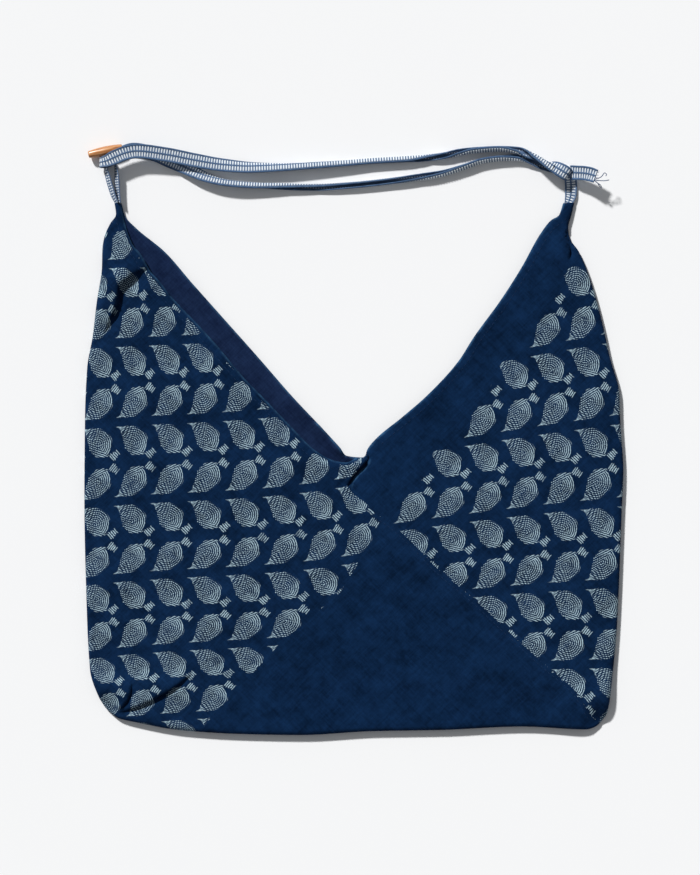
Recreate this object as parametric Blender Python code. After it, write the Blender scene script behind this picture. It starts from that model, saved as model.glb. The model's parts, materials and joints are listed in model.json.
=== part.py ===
"""Tsuno bag: one long strip of indigo cloth, three squares long, folded on the diagonal of
each square and sewn into a horned pouch, with a tape strap that buttons over a toggle.

Each square gives a front layer, which carries the round bend of its fold, and a flat back
layer, which the bend runs into. They are parted by a hair so that the pouch stays open inside.

The bag lies on its back on a table. X runs across it, Y up towards its horns and Z up from
the table. The origin is the middle of its outline, at table height. Tables are in millimetres.
"""
import bpy
import numpy as np

MM = 0.001

CLOTH = 1.2          # thickness of the cloth, with its turned hems
TAPE = 1.2           # thickness of the woven tape
TAPE_WIDTH = 12.5
LOOP_WIDTH = 8.5     # the tape of the left horn's loop, folded narrow
FRONT_LEVEL = 8.0    # middle of the front cloth above the table, where nothing lifts or presses it
SEAM_GAP = 0.4       # left between two panels that meet at a seam
BACK_TUCKED = 1.5    # how far the back's edge lies inside the front's at the right of the mouth
HORN_TOP = 219.6
CORNER_LEFT = (-231.6, -250.2)    # where the left and middle squares share a corner of the bag
CORNER_RIGHT = (229.4, -264.6)
CENTRE = (-9.0, -42.0)            # where the three squares meet, under the point of the mouth

# Each fold edge and mouth edge: how far across, at each height up the bag.
LEFT_FOLD = (  # y, x
    (-250.2, -231.6), (-240, -237.6), (-215, -245.7), (-160, -248.7), (-55, -251.0), (20, -250.4),
    (66, -248.4), (95, -243.4), (129, -239.1), (160, -234.6), (176, -234.3), (188, -232.4),
    (201, -226.8), (209, -221.6), (HORN_TOP, -223.0),
)
LEFT_MOUTH_BACK = (
    (-42.0, -9.4), (-30.0, -2.6), (-17.0, 3.0), (-7.4, -16.6), (12.5, -31.9), (38.7, -56.6),
    (74.2, -87.5), (115.8, -124.5), (145.5, -150.9), (174.0, -175.8), (196.4, -202.8),
    (208, -213.2), (HORN_TOP, -216.6),
)
LEFT_MOUTH_FRONT = (
    (-42.0, -9.6), (-34.0, -6.0), (-27.0, -3.0), (-22.0, -14.0), (-16.0, -27.0), (-9.1, -38.1),
    (7.9, -55.1), (38.7, -84.5), (86.4, -127.0), (131, -168.6), (155.9, -189.3),
    (171.4, -198.1), (180.8, -205.8), (208, -214.0), (HORN_TOP, -217.0),
)
RIGHT_FOLD = (
    (-264.6, 229.4), (-254.5, 236.0), (-219, 241.0), (-172, 245.2), (-66, 249.6), (-30, 251.0),
    (22, 248.0), (40, 247.6), (78, 238.0), (103, 232.6), (129, 226.1), (154, 218.3),
    (174, 209.9), (188, 201.0), (197, 199.7), (209, 202.8), (HORN_TOP, 205.3),
)
RIGHT_MOUTH = (
    (-42.0, -7.6), (-30.0, 1.0), (-17.2, 9.0), (-10, 12.5), (0.6, 21.1), (20.8, 45.7), (41.2, 69.0),
    (72.4, 97.4), (94.6, 111.6), (129.3, 136.8), (159.7, 156.2), (190, 173.1), (203.7, 183.8),
    (208, 190.9), (HORN_TOP, 195.0),
)
BOTTOM_FOLD = (  # x, y
    (-231.6, -250.2), (-227.2, -254.4), (-219.5, -260.0), (-207, -263.0), (-160, -271.3),
    (-106, -274.7), (-50, -275.7), (17, -272.1), (80, -271.0), (157, -267.8), (217, -270.5),
    (225, -268.0), (229.4, -264.6),
)

# Long soft ridges (above 0) and troughs (below 0) in the front cloth, from one end to the other.
CREASES = (  # x0, y0, x1, y1, height, half width
    (-206, 168, -240, 120, 3.4, 13),      # cloth bulging over the fold below the left horn
    (-190, 156, -222, 142, -1.6, 6),      # the fold's dark valley
    (-222, 142, -236, 92, -1.4, 6),
    (-232, -232, -170, -230, 3.2, 12),    # the flap of the tuck at the lower left
    (-224, -258, -166, -246, -1.2, 6),    # the tuck's valley
    (-26, -26, 4, -22, 2.0, 6),           # rolled lip at the point of the mouth
    (-10, -42, 10, -16, -1.0, 4),         # the pleat behind it
    (196, 186, 176, 120, 1.8, 8),         # the right horn drawn up
    (96, 62, 40, -40, -0.7, 9),           # soft trough down from the right mouth
    (-60, -236, 20, -150, -0.6, 10),      # soft waves on the plain square
    (110, -250, 170, -216, -0.6, 10),
    (-220, 10, -120, 60, 0.8, 26),        # low swells in the printed squares
    (120, -40, 220, 20, 0.9, 26),
)
# Where the front cloth puffs up (above 0) or is pinched flat (below 0), round a point.
BUMPS = (  # x, y, height, reach
    (-231.6, -250.2, -3.2, 16),
    (228, -244, 5.5, 26),
    (229.4, -264.6, -7.0, 14),
    (-219, HORN_TOP, -2.6, 30),
    (200, HORN_TOP, -2.6, 30),
)
EDGE_DROPS = {"left": -0.6, "right": 1.4, "bottom": -2.0}   # front cloth at each fold, against FRONT_LEVEL
EDGE_REACH = 26.0
WIDEST_BEND = 0.36    # most of a layer's width that the round of its fold may take

# The tape's route from the knot along the lower run, round the bight over the toggle and back
# along the upper run. Lean is how far the tape's width is tipped up on edge, in degrees.
STRAP_ROUTE = (  # x, y, z, lean, width
    (187.3, 247.2, 6.6, 90, TAPE_WIDTH), (176.0, 253.3, 6.6, 90, TAPE_WIDTH),
    (165.0, 259.4, 6.6, 90, TAPE_WIDTH), (152.0, 262.6, 6.6, 90, TAPE_WIDTH),
    (138.0, 263.2, 6.6, 90, TAPE_WIDTH), (120.6, 260.5, 6.6, 90, TAPE_WIDTH),
    (102.4, 254.2, 6.6, 90, TAPE_WIDTH), (80.0, 247.0, 6.6, 90, TAPE_WIDTH),
    (58.0, 243.5, 6.6, 90, TAPE_WIDTH), (31.8, 240.2, 6.6, 84, TAPE_WIDTH),
    (-3.6, 236.4, 6.5, 74, TAPE_WIDTH), (-33.0, 234.8, 6.2, 66, TAPE_WIDTH),
    (-60.0, 235.3, 6.1, 62, TAPE_WIDTH), (-104.0, 237.1, 5.9, 58, TAPE_WIDTH),
    (-122.0, 239.8, 5.6, 54, TAPE_WIDTH), (-140.0, 245.1, 5.0, 44, TAPE_WIDTH),
    (-158.0, 253.4, 3.2, 22, TAPE_WIDTH), (-172.0, 259.5, 1.5, 6, TAPE_WIDTH),
    (-186.0, 265.6, 0.7, 0, TAPE_WIDTH), (-205.0, 269.4, 0.6, 0, TAPE_WIDTH),
    (-222.0, 263.6, 0.6, 0, 11.5), (-230.6, 257.6, 0.6, 0, 9.6),
    (-234.5, 257.0, 2.2, 0, 9.4), (-236.2, 257.0, 6.2, 0, 9.4), (-234.5, 257.2, 10.1, 0, 9.6),
    (-230.6, 258.0, 11.8, 0, 10.4), (-222.0, 262.3, 11.9, 0, TAPE_WIDTH),
    (-212.0, 266.2, 11.8, 0, TAPE_WIDTH), (-201.7, 267.6, 11.6, 0, TAPE_WIDTH),
    (-173.8, 264.0, 10.8, 4, TAPE_WIDTH), (-148.7, 259.3, 9.6, 14, TAPE_WIDTH),
    (-121.7, 255.3, 8.6, 34, TAPE_WIDTH), (-95.6, 253.1, 7.9, 50, TAPE_WIDTH),
    (-68.7, 253.7, 7.4, 56, TAPE_WIDTH), (-41.7, 254.9, 7.2, 56, TAPE_WIDTH),
    (5.7, 257.6, 7.0, 56, TAPE_WIDTH), (31.8, 259.1, 6.9, 70, TAPE_WIDTH),
    (58.3, 260.9, 6.7, 86, TAPE_WIDTH), (84.8, 263.4, 6.6, 90, TAPE_WIDTH),
    (111.7, 267.9, 6.6, 90, TAPE_WIDTH), (135.0, 269.3, 6.6, 90, TAPE_WIDTH),
    (156.4, 266.9, 6.6, 90, TAPE_WIDTH), (168.0, 262.3, 6.6, 90, TAPE_WIDTH),
    (178.0, 256.5, 6.6, 90, TAPE_WIDTH), (187.3, 250.6, 6.6, 90, TAPE_WIDTH),
)
LEFT_LOOP_ROUTE = (
    (-222.0, 220.2, 4.8, 90, LOOP_WIDTH), (-223.6, 226.0, 4.9, 90, LOOP_WIDTH),
    (-226.6, 233.5, 5.1, 90, LOOP_WIDTH), (-229.6, 242.5, 5.5, 90, LOOP_WIDTH),
    (-231.2, 251.0, 6.0, 90, LOOP_WIDTH), (-229.8, 258.0, 6.1, 90, LOOP_WIDTH),
    (-226.4, 261.6, 6.1, 90, LOOP_WIDTH), (-223.0, 258.4, 6.1, 90, LOOP_WIDTH),
    (-221.8, 252.0, 6.0, 90, LOOP_WIDTH), (-221.2, 243.0, 5.5, 90, LOOP_WIDTH),
    (-220.6, 234.0, 5.1, 90, LOOP_WIDTH), (-220.0, 226.0, 4.9, 90, LOOP_WIDTH),
    (-220.0, 220.2, 4.8, 90, LOOP_WIDTH),
)
RIGHT_TAPE_ROUTE = (
    (196.4, 208.0, 3.7, 0, 5.0), (198.2, 214.0, 3.7, 0, 6.2), (199.4, 219.0, 3.7, 0, 7.0),
    (200.6, 222.0, 3.1, 0, 8.8), (202.2, 228.0, 2.2, 0, 10.4), (202.4, 236.0, 1.4, 0, 10.6),
    (201.6, 246.0, 1.3, 0, 10.6),
)
TAIL_ROUTE = (
    (206.6, 246.4, 9.5, 8, TAPE_WIDTH), (212.0, 246.3, 12.4, 8, TAPE_WIDTH),
    (218.0, 245.4, 15.6, 4, TAPE_WIDTH), (223.6, 243.4, 18.2, -4, 12.0),
)
KNOT_RINGS = (  # x, y, z, half width, half height
    (187.9, 248.9, 7.4, 4.4, 3.8), (190.5, 248.6, 8.0, 5.8, 4.8), (194.5, 247.8, 8.6, 7.0, 5.3),
    (198.5, 246.9, 8.8, 7.2, 5.5), (202.5, 246.4, 9.0, 6.4, 5.0), (206.1, 246.4, 9.4, 5.0, 3.2),
)
TOGGLE_START = (-247.0, 264.6, 6.1)
TOGGLE_END = (-215.4, 271.2, 6.1)
TOGGLE_RADII = (  # share of its length, radius
    (0.0, 2.9), (0.03, 3.3), (0.28, 4.2), (0.5, 4.55), (0.72, 4.2), (0.97, 3.3), (1.0, 2.9),
)
THREADS = (  # from the tail's cut end: x, y, z it reaches
    (233.5, 244.6, 20.6), (236.6, 240.6, 18.4), (229.4, 234.6, 14.6), (231.0, 249.0, 20.0),
)
THREAD_RADIUS = 0.55

STATIONS = 32        # rows along a fold edge
BACK_STEPS = 3
BEND_STEPS = 5
FRONT_STEPS = 13
TAPE_STEP = 8.0      # length of a tape between two of its rows

INDIGO = (0.018, 0.055, 0.13)


def clear_scene():
    for thing in list(bpy.data.objects):
        bpy.data.objects.remove(thing)


def material(name, colour, roughness):
    made = bpy.data.materials.new(name)
    made.use_nodes = True
    shader = made.node_tree.nodes["Principled BSDF"]
    shader.inputs["Base Color"].default_value = (*colour, 1.0)
    shader.inputs["Roughness"].default_value = roughness
    shader.inputs["Metallic"].default_value = 0.0
    return made


def smooth(table, at):
    """Values of a two-column table at the places `at`, on a cubic that never overshoots."""
    knots, values = np.array(sorted(table), float).T
    step = np.diff(knots)
    rise = np.diff(values) / step
    slope = np.zeros(len(values))
    same_way = rise[:-1] * rise[1:] > 0
    both = np.where(same_way, rise[:-1] + rise[1:], 1.0)
    slope[1:-1] = np.where(same_way, 2.0 * rise[:-1] * rise[1:] / both, 0.0)
    slope[0], slope[-1] = rise[0], rise[-1]
    at = np.clip(at, knots[0], knots[-1])
    i = np.clip(np.searchsorted(knots, at) - 1, 0, len(step) - 1)
    t = (at - knots[i]) / step[i]
    return (
        values[i] * (1 + 2 * t) * (1 - t) ** 2
        + slope[i] * step[i] * t * (1 - t) ** 2
        + values[i + 1] * t * t * (3 - 2 * t)
        + slope[i + 1] * step[i] * t * t * (t - 1)
    )


def line(start, end, at):
    """Second coordinate of the straight line from start to end where the first is `at`."""
    return start[1] + (at - start[0]) * (end[1] - start[1]) / (end[0] - start[0])


def swapped(point):
    return (point[1], point[0])


def bumps(x, y):
    total = np.zeros_like(x)
    for px, py, height, reach in BUMPS:
        total += height * np.exp(-((x - px) ** 2 + (y - py) ** 2) / reach**2)
    return total


def creases(x, y):
    total = np.zeros_like(x)
    for x0, y0, x1, y1, height, half_width in CREASES:
        along = np.array((x1 - x0, y1 - y0))
        share = ((x - x0) * along[0] + (y - y0) * along[1]) / (along @ along)
        share = np.clip(share, 0, 1)
        away = np.hypot(x - x0 - share * along[0], y - y0 - share * along[1])
        total += height * np.exp(-((away / half_width) ** 2))
    return total


def front_height(x, y):
    """Middle of the front cloth: level, rolled down or up at the three folds, then creased."""
    away = {
        "left": x - smooth(LEFT_FOLD, y),
        "right": smooth(RIGHT_FOLD, y) - x,
        "bottom": y - smooth(BOTTOM_FOLD, x),
    }
    height = FRONT_LEVEL + bumps(x, y) + creases(x, y)
    for edge, drop in EDGE_DROPS.items():
        height += drop * np.exp(-((away[edge] / EDGE_REACH) ** 2))
    return height


def object_from(name, vertices, faces, look):
    mesh = bpy.data.meshes.new(name)
    mesh.from_pydata([tuple(v) for v in np.asarray(vertices) * MM], [], faces)
    mesh.materials.append(look)
    thing = bpy.data.objects.new(name, mesh)
    bpy.context.scene.collection.objects.link(thing)
    return thing


def grid_faces(rows, columns):
    return [
        (i * columns + j, i * columns + j + 1, (i + 1) * columns + j + 1, (i + 1) * columns + j)
        for i in range(rows - 1)
        for j in range(columns - 1)
    ]


def sheet_from_grid(name, grid, thickness, look):
    """A solid sheet on a grid of middle points, half its thickness to each side."""
    rows, columns = grid.shape[:2]
    thing = object_from(name, grid.reshape(-1, 3), grid_faces(rows, columns), look)
    solid = thing.modifiers.new("thickness", "SOLIDIFY")
    solid.thickness = thickness * MM
    solid.offset = 0.0
    solid.use_even_offset = True
    thing.data.shade_smooth()
    return thing


def folded_square(name, stations, fold, back, front, upright, look):
    """A square of cloth folded on its diagonal, as a front layer with its bend and a back layer.

    Each station is a line across the fold. `upright` folds run up the bag and their lines run
    across it; the bottom fold is the other way about.
    """
    low = CLOTH / 2
    front_rows, back_rows = [], []
    for at, edge, back_end, front_end in zip(stations, fold, back, front):
        inward = np.sign(front_end - edge)
        edge += inward * low

        def level_at(across):
            along = np.full_like(across, at)
            return front_height(across, along) if upright else front_height(along, across)

        def row(across, z):
            along = np.full_like(across, at)
            return np.column_stack((across, along, z) if upright else (along, across, z))

        narrowest = min(abs(front_end - edge), abs(back_end - edge))
        radius = min((level_at(np.array([edge]))[0] - low) / 2, WIDEST_BEND * narrowest)
        bend_at = edge + inward * radius
        turn = np.linspace(0, np.pi, BEND_STEPS + 2)[:-1]
        front_line = np.linspace(bend_at, front_end, FRONT_STEPS)
        settle = np.clip(np.abs(front_line - bend_at) / (3 * radius), 0, 1)
        front_z = (low + 2 * radius) * (1 - settle) + level_at(front_line) * settle
        front_rows.append(np.concatenate((
            row(bend_at - inward * radius * np.sin(turn), low + radius - radius * np.cos(turn)),
            row(front_line, front_z),
        )))
        back_line = np.linspace(back_end, bend_at + inward * SEAM_GAP, BACK_STEPS)
        back_rows.append(row(back_line, np.full_like(back_line, low)))
    sheet_from_grid(f"{name}_front", np.array(front_rows), CLOTH, look)
    sheet_from_grid(f"{name}_back", np.array(back_rows), CLOTH, look)


def left_square(look):
    stations = np.concatenate(
        (np.linspace(CORNER_LEFT[1] + 2.6, -24, STATIONS // 2, endpoint=False),
         np.linspace(-24, HORN_TOP, STATIONS // 2 + 2))
    )
    seam = line(swapped(CORNER_LEFT), swapped(CENTRE), stations) - SEAM_GAP
    below_mouth = stations < CENTRE[1]
    back = np.where(below_mouth, seam, smooth(LEFT_MOUTH_BACK, stations))
    front = np.where(below_mouth, seam, smooth(LEFT_MOUTH_FRONT, stations))
    folded_square(
        "left", stations, smooth(LEFT_FOLD, stations), back, front, True, look
    )


def middle_square(look):
    stations = np.concatenate(
        (np.linspace(CORNER_LEFT[0] + 2.4, CENTRE[0], STATIONS // 2, endpoint=False),
         np.linspace(CENTRE[0], CORNER_RIGHT[0] - 2.4, STATIONS // 2 + 2))
    )
    left_seam = line(CORNER_LEFT, CENTRE, stations)
    right_seam = line(CENTRE, CORNER_RIGHT, stations)
    top = np.minimum(left_seam, right_seam) - SEAM_GAP
    folded_square(
        "middle", stations, smooth(BOTTOM_FOLD, stations), top, top, False, look
    )


def right_square(look):
    stations = np.concatenate(
        (np.linspace(CORNER_RIGHT[1] + 2.6, -24, STATIONS // 2, endpoint=False),
         np.linspace(-24, HORN_TOP, STATIONS // 2 + 2))
    )
    seam = line(swapped(CORNER_RIGHT), swapped(CENTRE), stations) + SEAM_GAP
    below_mouth = stations < CENTRE[1]
    front = np.where(below_mouth, seam, smooth(RIGHT_MOUTH, stations))
    back = np.where(below_mouth, seam, front + BACK_TUCKED)
    folded_square(
        "right", stations, smooth(RIGHT_FOLD, stations), back, front, True, look
    )


def along_route(route):
    """A route's rows, evenly spaced along a smooth path through its own rows."""
    rows = np.array(route, float)
    run = np.concatenate(([0], np.cumsum(np.linalg.norm(np.diff(rows[:, :3], axis=0), axis=1))))
    at = np.linspace(0, run[-1], max(5, round(run[-1] / TAPE_STEP)))
    at = np.unique(np.concatenate((at, run[1:-1])).round(3))
    keep = np.concatenate(([True], np.diff(at) > TAPE_STEP / 5))
    keep[-1] = True
    at = at[keep]
    return np.column_stack([smooth(tuple(zip(run, column)), at) for column in rows.T])


def tape(name, route, thickness, look, flat_way=(0, 1)):
    """A flat tape whose width lies along flat_way and leans up on edge where the route says."""
    rows = along_route(route)
    lean = np.radians(rows[:, 3])
    half = rows[:, 4:5] / 2
    width_way = np.column_stack((np.outer(np.cos(lean), flat_way), np.sin(lean)))
    grid = np.stack((rows[:, :3] - half * width_way, rows[:, :3] + half * width_way), axis=1)
    return sheet_from_grid(name, grid, thickness, look)


def lofted(name, rings, look):
    """A closed solid through equal rings of points, with flat ends."""
    sides = len(rings[0])
    vertices = np.concatenate(rings)
    faces = [
        (i * sides + j, i * sides + (j + 1) % sides,
         (i + 1) * sides + (j + 1) % sides, (i + 1) * sides + j)
        for i in range(len(rings) - 1)
        for j in range(sides)
    ]
    faces.append(tuple(reversed(range(sides))))
    faces.append(tuple(range(len(vertices) - sides, len(vertices))))
    thing = object_from(name, vertices, faces, look)
    thing.data.shade_smooth()
    thing.data.set_sharp_from_angle(angle=np.radians(50))
    return thing


def knot(look):
    """The strap's knot: a bound lump whose three ridges are the tape's turns."""
    angle = np.linspace(0, 2 * np.pi, 20, endpoint=False)
    rings = []
    for i, (x, y, z, half_width, half_height) in enumerate(KNOT_RINGS):
        ridge = 1 + 0.07 * np.cos(3 * angle + 0.6 * i)
        rings.append(np.column_stack((
            np.full_like(angle, x),
            y + half_width * ridge * np.cos(angle),
            z + half_height * ridge * np.sin(angle),
        )))
    return lofted("strap_knot", rings, look)


def toggle(look):
    start, end = np.array(TOGGLE_START), np.array(TOGGLE_END)
    axis = (end - start) / np.linalg.norm(end - start)
    side = np.cross((0, 0, 1), axis)
    up = np.cross(axis, side)
    angle = np.linspace(0, 2 * np.pi, 18, endpoint=False)
    rings = [
        start + share * (end - start)
        + radius * (np.outer(np.cos(angle), side) + np.outer(np.sin(angle), up))
        for share, radius in TOGGLE_RADII
    ]
    return lofted("toggle", rings, look)


def thread(index, root, tip, look):
    """One loose thread of the tape, rooted inside its cut end and curling to its tip."""
    share = np.linspace(0, 1, 6)[:, None]
    path = root + share * (tip - root)
    path[:, 2] += 1.2 * np.sin(np.pi * share[:, 0])
    way = (tip - root) / np.linalg.norm(tip - root)
    side = np.cross(way, (0, 0, 1))
    side /= np.linalg.norm(side)
    up = np.cross(side, way)
    angle = np.linspace(0, 2 * np.pi, 4, endpoint=False)
    rings = [
        point + THREAD_RADIUS * (np.outer(np.cos(angle), side) + np.outer(np.sin(angle), up))
        for point in path
    ]
    made = lofted(f"thread_{index}", rings, look)
    made.hide_render = True
    made.display_type = "WIRE"
    return made


def tail(look):
    """The strap's cut end past the knot, with loose threads joined into it."""
    end_tape = tape("strap_tail", TAIL_ROUTE, TAPE, look)
    last = np.array(TAIL_ROUTE[-1][:3])
    before = np.array(TAIL_ROUTE[-2][:3])
    inside = last - 1.5 * (last - before) / np.linalg.norm(last - before)
    for index, tip in enumerate(THREADS):
        root = inside + (0, (tip[1] - last[1]) * 0.5, 0)
        cut = end_tape.modifiers.new(f"thread {index}", "BOOLEAN")
        cut.operation = "UNION"
        cut.solver = "EXACT"
        cut.object = thread(index, root, np.array(tip), look)
    return end_tape


def main():
    clear_scene()
    printed = material("leaf printed indigo cotton", (0.10, 0.16, 0.25), 0.9)
    plain = material("plain indigo cotton", INDIGO, 0.9)
    woven = material("navy and white woven tape", (0.16, 0.21, 0.32), 0.85)
    wood = material("oiled wood", (0.42, 0.16, 0.04), 0.45)
    left_square(printed)
    middle_square(plain)
    right_square(printed)
    tape("strap", STRAP_ROUTE, TAPE, woven)
    knot(woven)
    tail(woven)
    tape("left_horn_loop", LEFT_LOOP_ROUTE, TAPE, woven)
    tape("right_horn_tape", RIGHT_TAPE_ROUTE, 2 * TAPE, woven, flat_way=(1, 0))
    toggle(wood)


main()
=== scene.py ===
# %% [markdown]
# # A tsuno bag in Blender
# A tsuno bag, "horned bag", is one strip of cloth three squares long. Each square is folded on
# its diagonal, the free edges are sewn to their neighbours, and the two ends stand up as horns
# that a strap joins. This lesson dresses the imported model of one: indigo cotton with a block
# print of leaves on its two outer squares, and a strap of woven tape that buttons over a toggle.
#
# Its solids say where everything is, and each piece made here takes the place of the solids that
# it stands for. All lengths below are in millimetres until the last step of each piece, because
# cloth and tape are thought of in millimetres.

import json

import bpy
import numpy as np
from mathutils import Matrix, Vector
from mathutils.geometry import delaunay_2d_cdt

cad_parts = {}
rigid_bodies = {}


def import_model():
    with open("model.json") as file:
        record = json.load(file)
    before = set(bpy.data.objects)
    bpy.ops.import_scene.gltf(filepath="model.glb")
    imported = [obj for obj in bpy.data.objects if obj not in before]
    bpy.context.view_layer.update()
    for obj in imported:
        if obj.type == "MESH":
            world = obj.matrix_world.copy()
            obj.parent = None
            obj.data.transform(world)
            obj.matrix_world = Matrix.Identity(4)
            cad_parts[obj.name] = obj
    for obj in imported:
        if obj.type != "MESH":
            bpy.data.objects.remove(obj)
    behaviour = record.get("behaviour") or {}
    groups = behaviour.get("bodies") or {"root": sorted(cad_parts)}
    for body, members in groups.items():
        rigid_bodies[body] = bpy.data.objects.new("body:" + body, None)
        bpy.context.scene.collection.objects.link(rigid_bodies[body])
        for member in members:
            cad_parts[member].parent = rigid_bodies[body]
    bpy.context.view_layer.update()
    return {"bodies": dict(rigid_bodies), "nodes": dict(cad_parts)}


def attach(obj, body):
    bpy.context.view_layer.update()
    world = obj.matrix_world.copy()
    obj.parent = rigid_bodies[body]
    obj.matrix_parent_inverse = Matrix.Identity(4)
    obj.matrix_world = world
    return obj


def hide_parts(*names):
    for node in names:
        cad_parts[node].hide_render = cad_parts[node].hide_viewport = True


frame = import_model()
BODY = next(iter(frame["bodies"]))
MM = 0.001
print("nodes:", sorted(frame["nodes"]))

# %% [markdown]
# ## Small helpers
# Colours are written as sRGB hex, as a painter reads them off a screen, and one function turns
# them to the linear values that Blender's shaders want. One more adds a node to a tree. It serves
# shaders and Geometry Nodes alike, so a finish or a tree reads as a list of its nodes.

# %% Helpers for colours, objects and nodes
def linear(hex_colour):
    """sRGB hex to the linear colour of a shader socket."""
    parts = [int(hex_colour[i:i + 2], 16) / 255 for i in (1, 3, 5)]
    return (*[p / 12.92 if p <= 0.04045 else ((p + 0.055) / 1.055) ** 2.4 for p in parts], 1.0)


def object_of(name, data):
    """A new object at the origin, for a mesh, a camera or a light."""
    thing = bpy.data.objects.new(name, data)
    bpy.context.scene.collection.objects.link(thing)
    return thing


def adder(tree):
    """Gives the function that adds a node to this tree: its kind, then its operation if any.

    Its inputs come in their order or, in a dictionary, by name. Each is a value, an output of
    another node, or a list of outputs. `out` says which output, or outputs, to hand back.
    """
    def add(kind, *inputs, out=0, **settings):
        kind, *operation = kind.split()
        made = tree.nodes.new(kind if "Node" in kind else tree.bl_idname[:-4] + kind)
        if operation:
            made.operation = operation[0]
        for name, value in settings.items():
            setattr(made, name, value)
        for place, given in enumerate(inputs):
            for socket, value in given.items() if isinstance(given, dict) else ((place, given),):
                for each in value if isinstance(value, list) else (value,):
                    if isinstance(each, bpy.types.NodeSocket):
                        tree.links.new(each, made.inputs[socket])
                    else:
                        made.inputs[socket].default_value = each
        return made.outputs[out]

    return add


print("sRGB #808080 is", round(linear("#808080")[0], 3), "in linear light")

# %% [markdown]
# ## Camera, floor and light
# The bag is seen from straight above, as on a table for a catalogue. A long lens far away keeps
# its outline flat, as a real copy stand does. The floor is plain and pale. The key light is a
# sun from the upper left, about 37 degrees high, with a disc wide enough to soften the shadow's
# edge, and a pale sky fills the shadows.

# %% Camera and light
VIEW_CENTRE = (-3.6, 1.4)      # what the middle of the view looks at
VIEW_HEIGHT = 813.75           # of cloth and table, from the view's foot to its head
CAMERA_DISTANCE = 3200.0
SENSOR = 36.0
LIGHT_FROM = (-0.55, 0.83)     # across the table, from the bag to the key light
LIGHT_UP = 37.0                # degrees above the table

camera_data = bpy.data.cameras.new("camera")
camera_data.sensor_fit = "VERTICAL"
camera_data.sensor_height = SENSOR
camera_data.lens = SENSOR * CAMERA_DISTANCE / VIEW_HEIGHT
camera_data.clip_end = 20.0
camera = object_of("camera", camera_data)
camera.location = Vector((*VIEW_CENTRE, CAMERA_DISTANCE + 8.0)) * MM
bpy.context.scene.camera = camera
bpy.context.scene.view_settings.view_transform = "Standard"

key = object_of("key", bpy.data.lights.new("key", "SUN"))
key.data.energy = 4.15
key.data.angle = np.radians(5.0)
toward = Vector((*LIGHT_FROM, np.hypot(*LIGHT_FROM) * np.tan(np.radians(LIGHT_UP))))
key.rotation_euler = toward.to_track_quat("Z", "Y").to_euler()

world = bpy.data.worlds.new("studio")
world.use_nodes = True
world.node_tree.nodes["Background"].inputs["Color"].default_value = (0.93, 0.96, 1.0, 1.0)
world.node_tree.nodes["Background"].inputs["Strength"].default_value = 0.235
bpy.context.scene.world = world
print("lens", round(camera_data.lens, 1), "mm; light from", [round(v, 2) for v in toward])

# %% Floor
FLOOR_HALF = 6.0                # metres
FLOOR_CORNERS = ((-1, -1), (1, -1), (1, 1), (-1, 1))
floor_mesh = bpy.data.meshes.new("floor")
floor_mesh.from_pydata([(x * FLOOR_HALF, y * FLOOR_HALF, 0.0) for x, y in FLOOR_CORNERS],
                       [], [(0, 1, 2, 3)])
paper = bpy.data.materials.new("matt white paper")
paper.use_nodes = True
paper_shader = paper.node_tree.nodes["Principled BSDF"]
paper_shader.inputs["Base Color"].default_value = linear("#F4F4F4")
paper_shader.inputs["Roughness"].default_value = 0.9
floor_mesh.materials.append(paper)
object_of("floor", floor_mesh)
print("floor", 2 * FLOOR_HALF, "m across")

# %% [markdown]
# ## Curves from short tables
# An edge or a fold needs only the few points that give it its shape. `smooth` draws a curve
# through them that never overshoots, as a draughtsman's spline does when it is held by weights.

# %% Helpers for curves
def smooth(table, at):
    """Values of a two-column table at the places `at`, on a cubic that never overshoots."""
    knots, values = np.array(sorted(table), float).T
    step = np.diff(knots)
    rise = np.diff(values) / step
    slope = np.zeros(len(values))
    same_way = rise[:-1] * rise[1:] > 0
    both = np.where(same_way, rise[:-1] + rise[1:], 1.0)
    slope[1:-1] = np.where(same_way, 2.0 * rise[:-1] * rise[1:] / both, 0.0)
    slope[0], slope[-1] = rise[0], rise[-1]
    at = np.clip(at, knots[0], knots[-1])
    i = np.clip(np.searchsorted(knots, at) - 1, 0, len(step) - 1)
    t = (at - knots[i]) / step[i]
    return (
        values[i] * (1 + 2 * t) * (1 - t) ** 2
        + slope[i] * step[i] * t * (1 - t) ** 2
        + values[i + 1] * t * t * (3 - 2 * t)
        + slope[i + 1] * step[i] * t * t * (t - 1)
    )


def run_along(points):
    """How far along a line of points each of them lies."""
    steps = np.linalg.norm(np.diff(points, axis=0), axis=1)
    return np.concatenate(([0.0], np.cumsum(steps)))


def evenly(points, step, read=np.interp):
    """The same line with its points `step` apart, both ends kept."""
    points = np.asarray(points, float)
    run = run_along(points)
    at = np.linspace(0, run[-1], max(2, round(run[-1] / step) + 1))
    return np.column_stack([read(at, run, column) for column in points.T])


def rounded(points, step):
    """A smooth line through given points, even steps apart."""
    return evenly(points, step, lambda at, run, column: smooth(tuple(zip(run, column)), at))


def ramp(value, start, end):
    """0 before start, 1 after end, and an even slope with soft ends between."""
    t = np.clip((value - start) / (end - start), 0, 1)
    return t * t * (3 - 2 * t)


print("halfway up a soft slope:", ramp(0.5, 0, 1))

# %% [markdown]
# ## The bag's outline
# Laid flat, the bag shows a fold on its left, one along its bottom and one on its right: they
# are the diagonals of the three squares. Above, the left square's short end and the right
# square's long edge make the two sides of the V-shaped mouth. Each edge is a short table read
# with `smooth`. On the left the front cloth's edge lies lower than the back's, so a band of the
# back's wrong side shows along the mouth.

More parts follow.
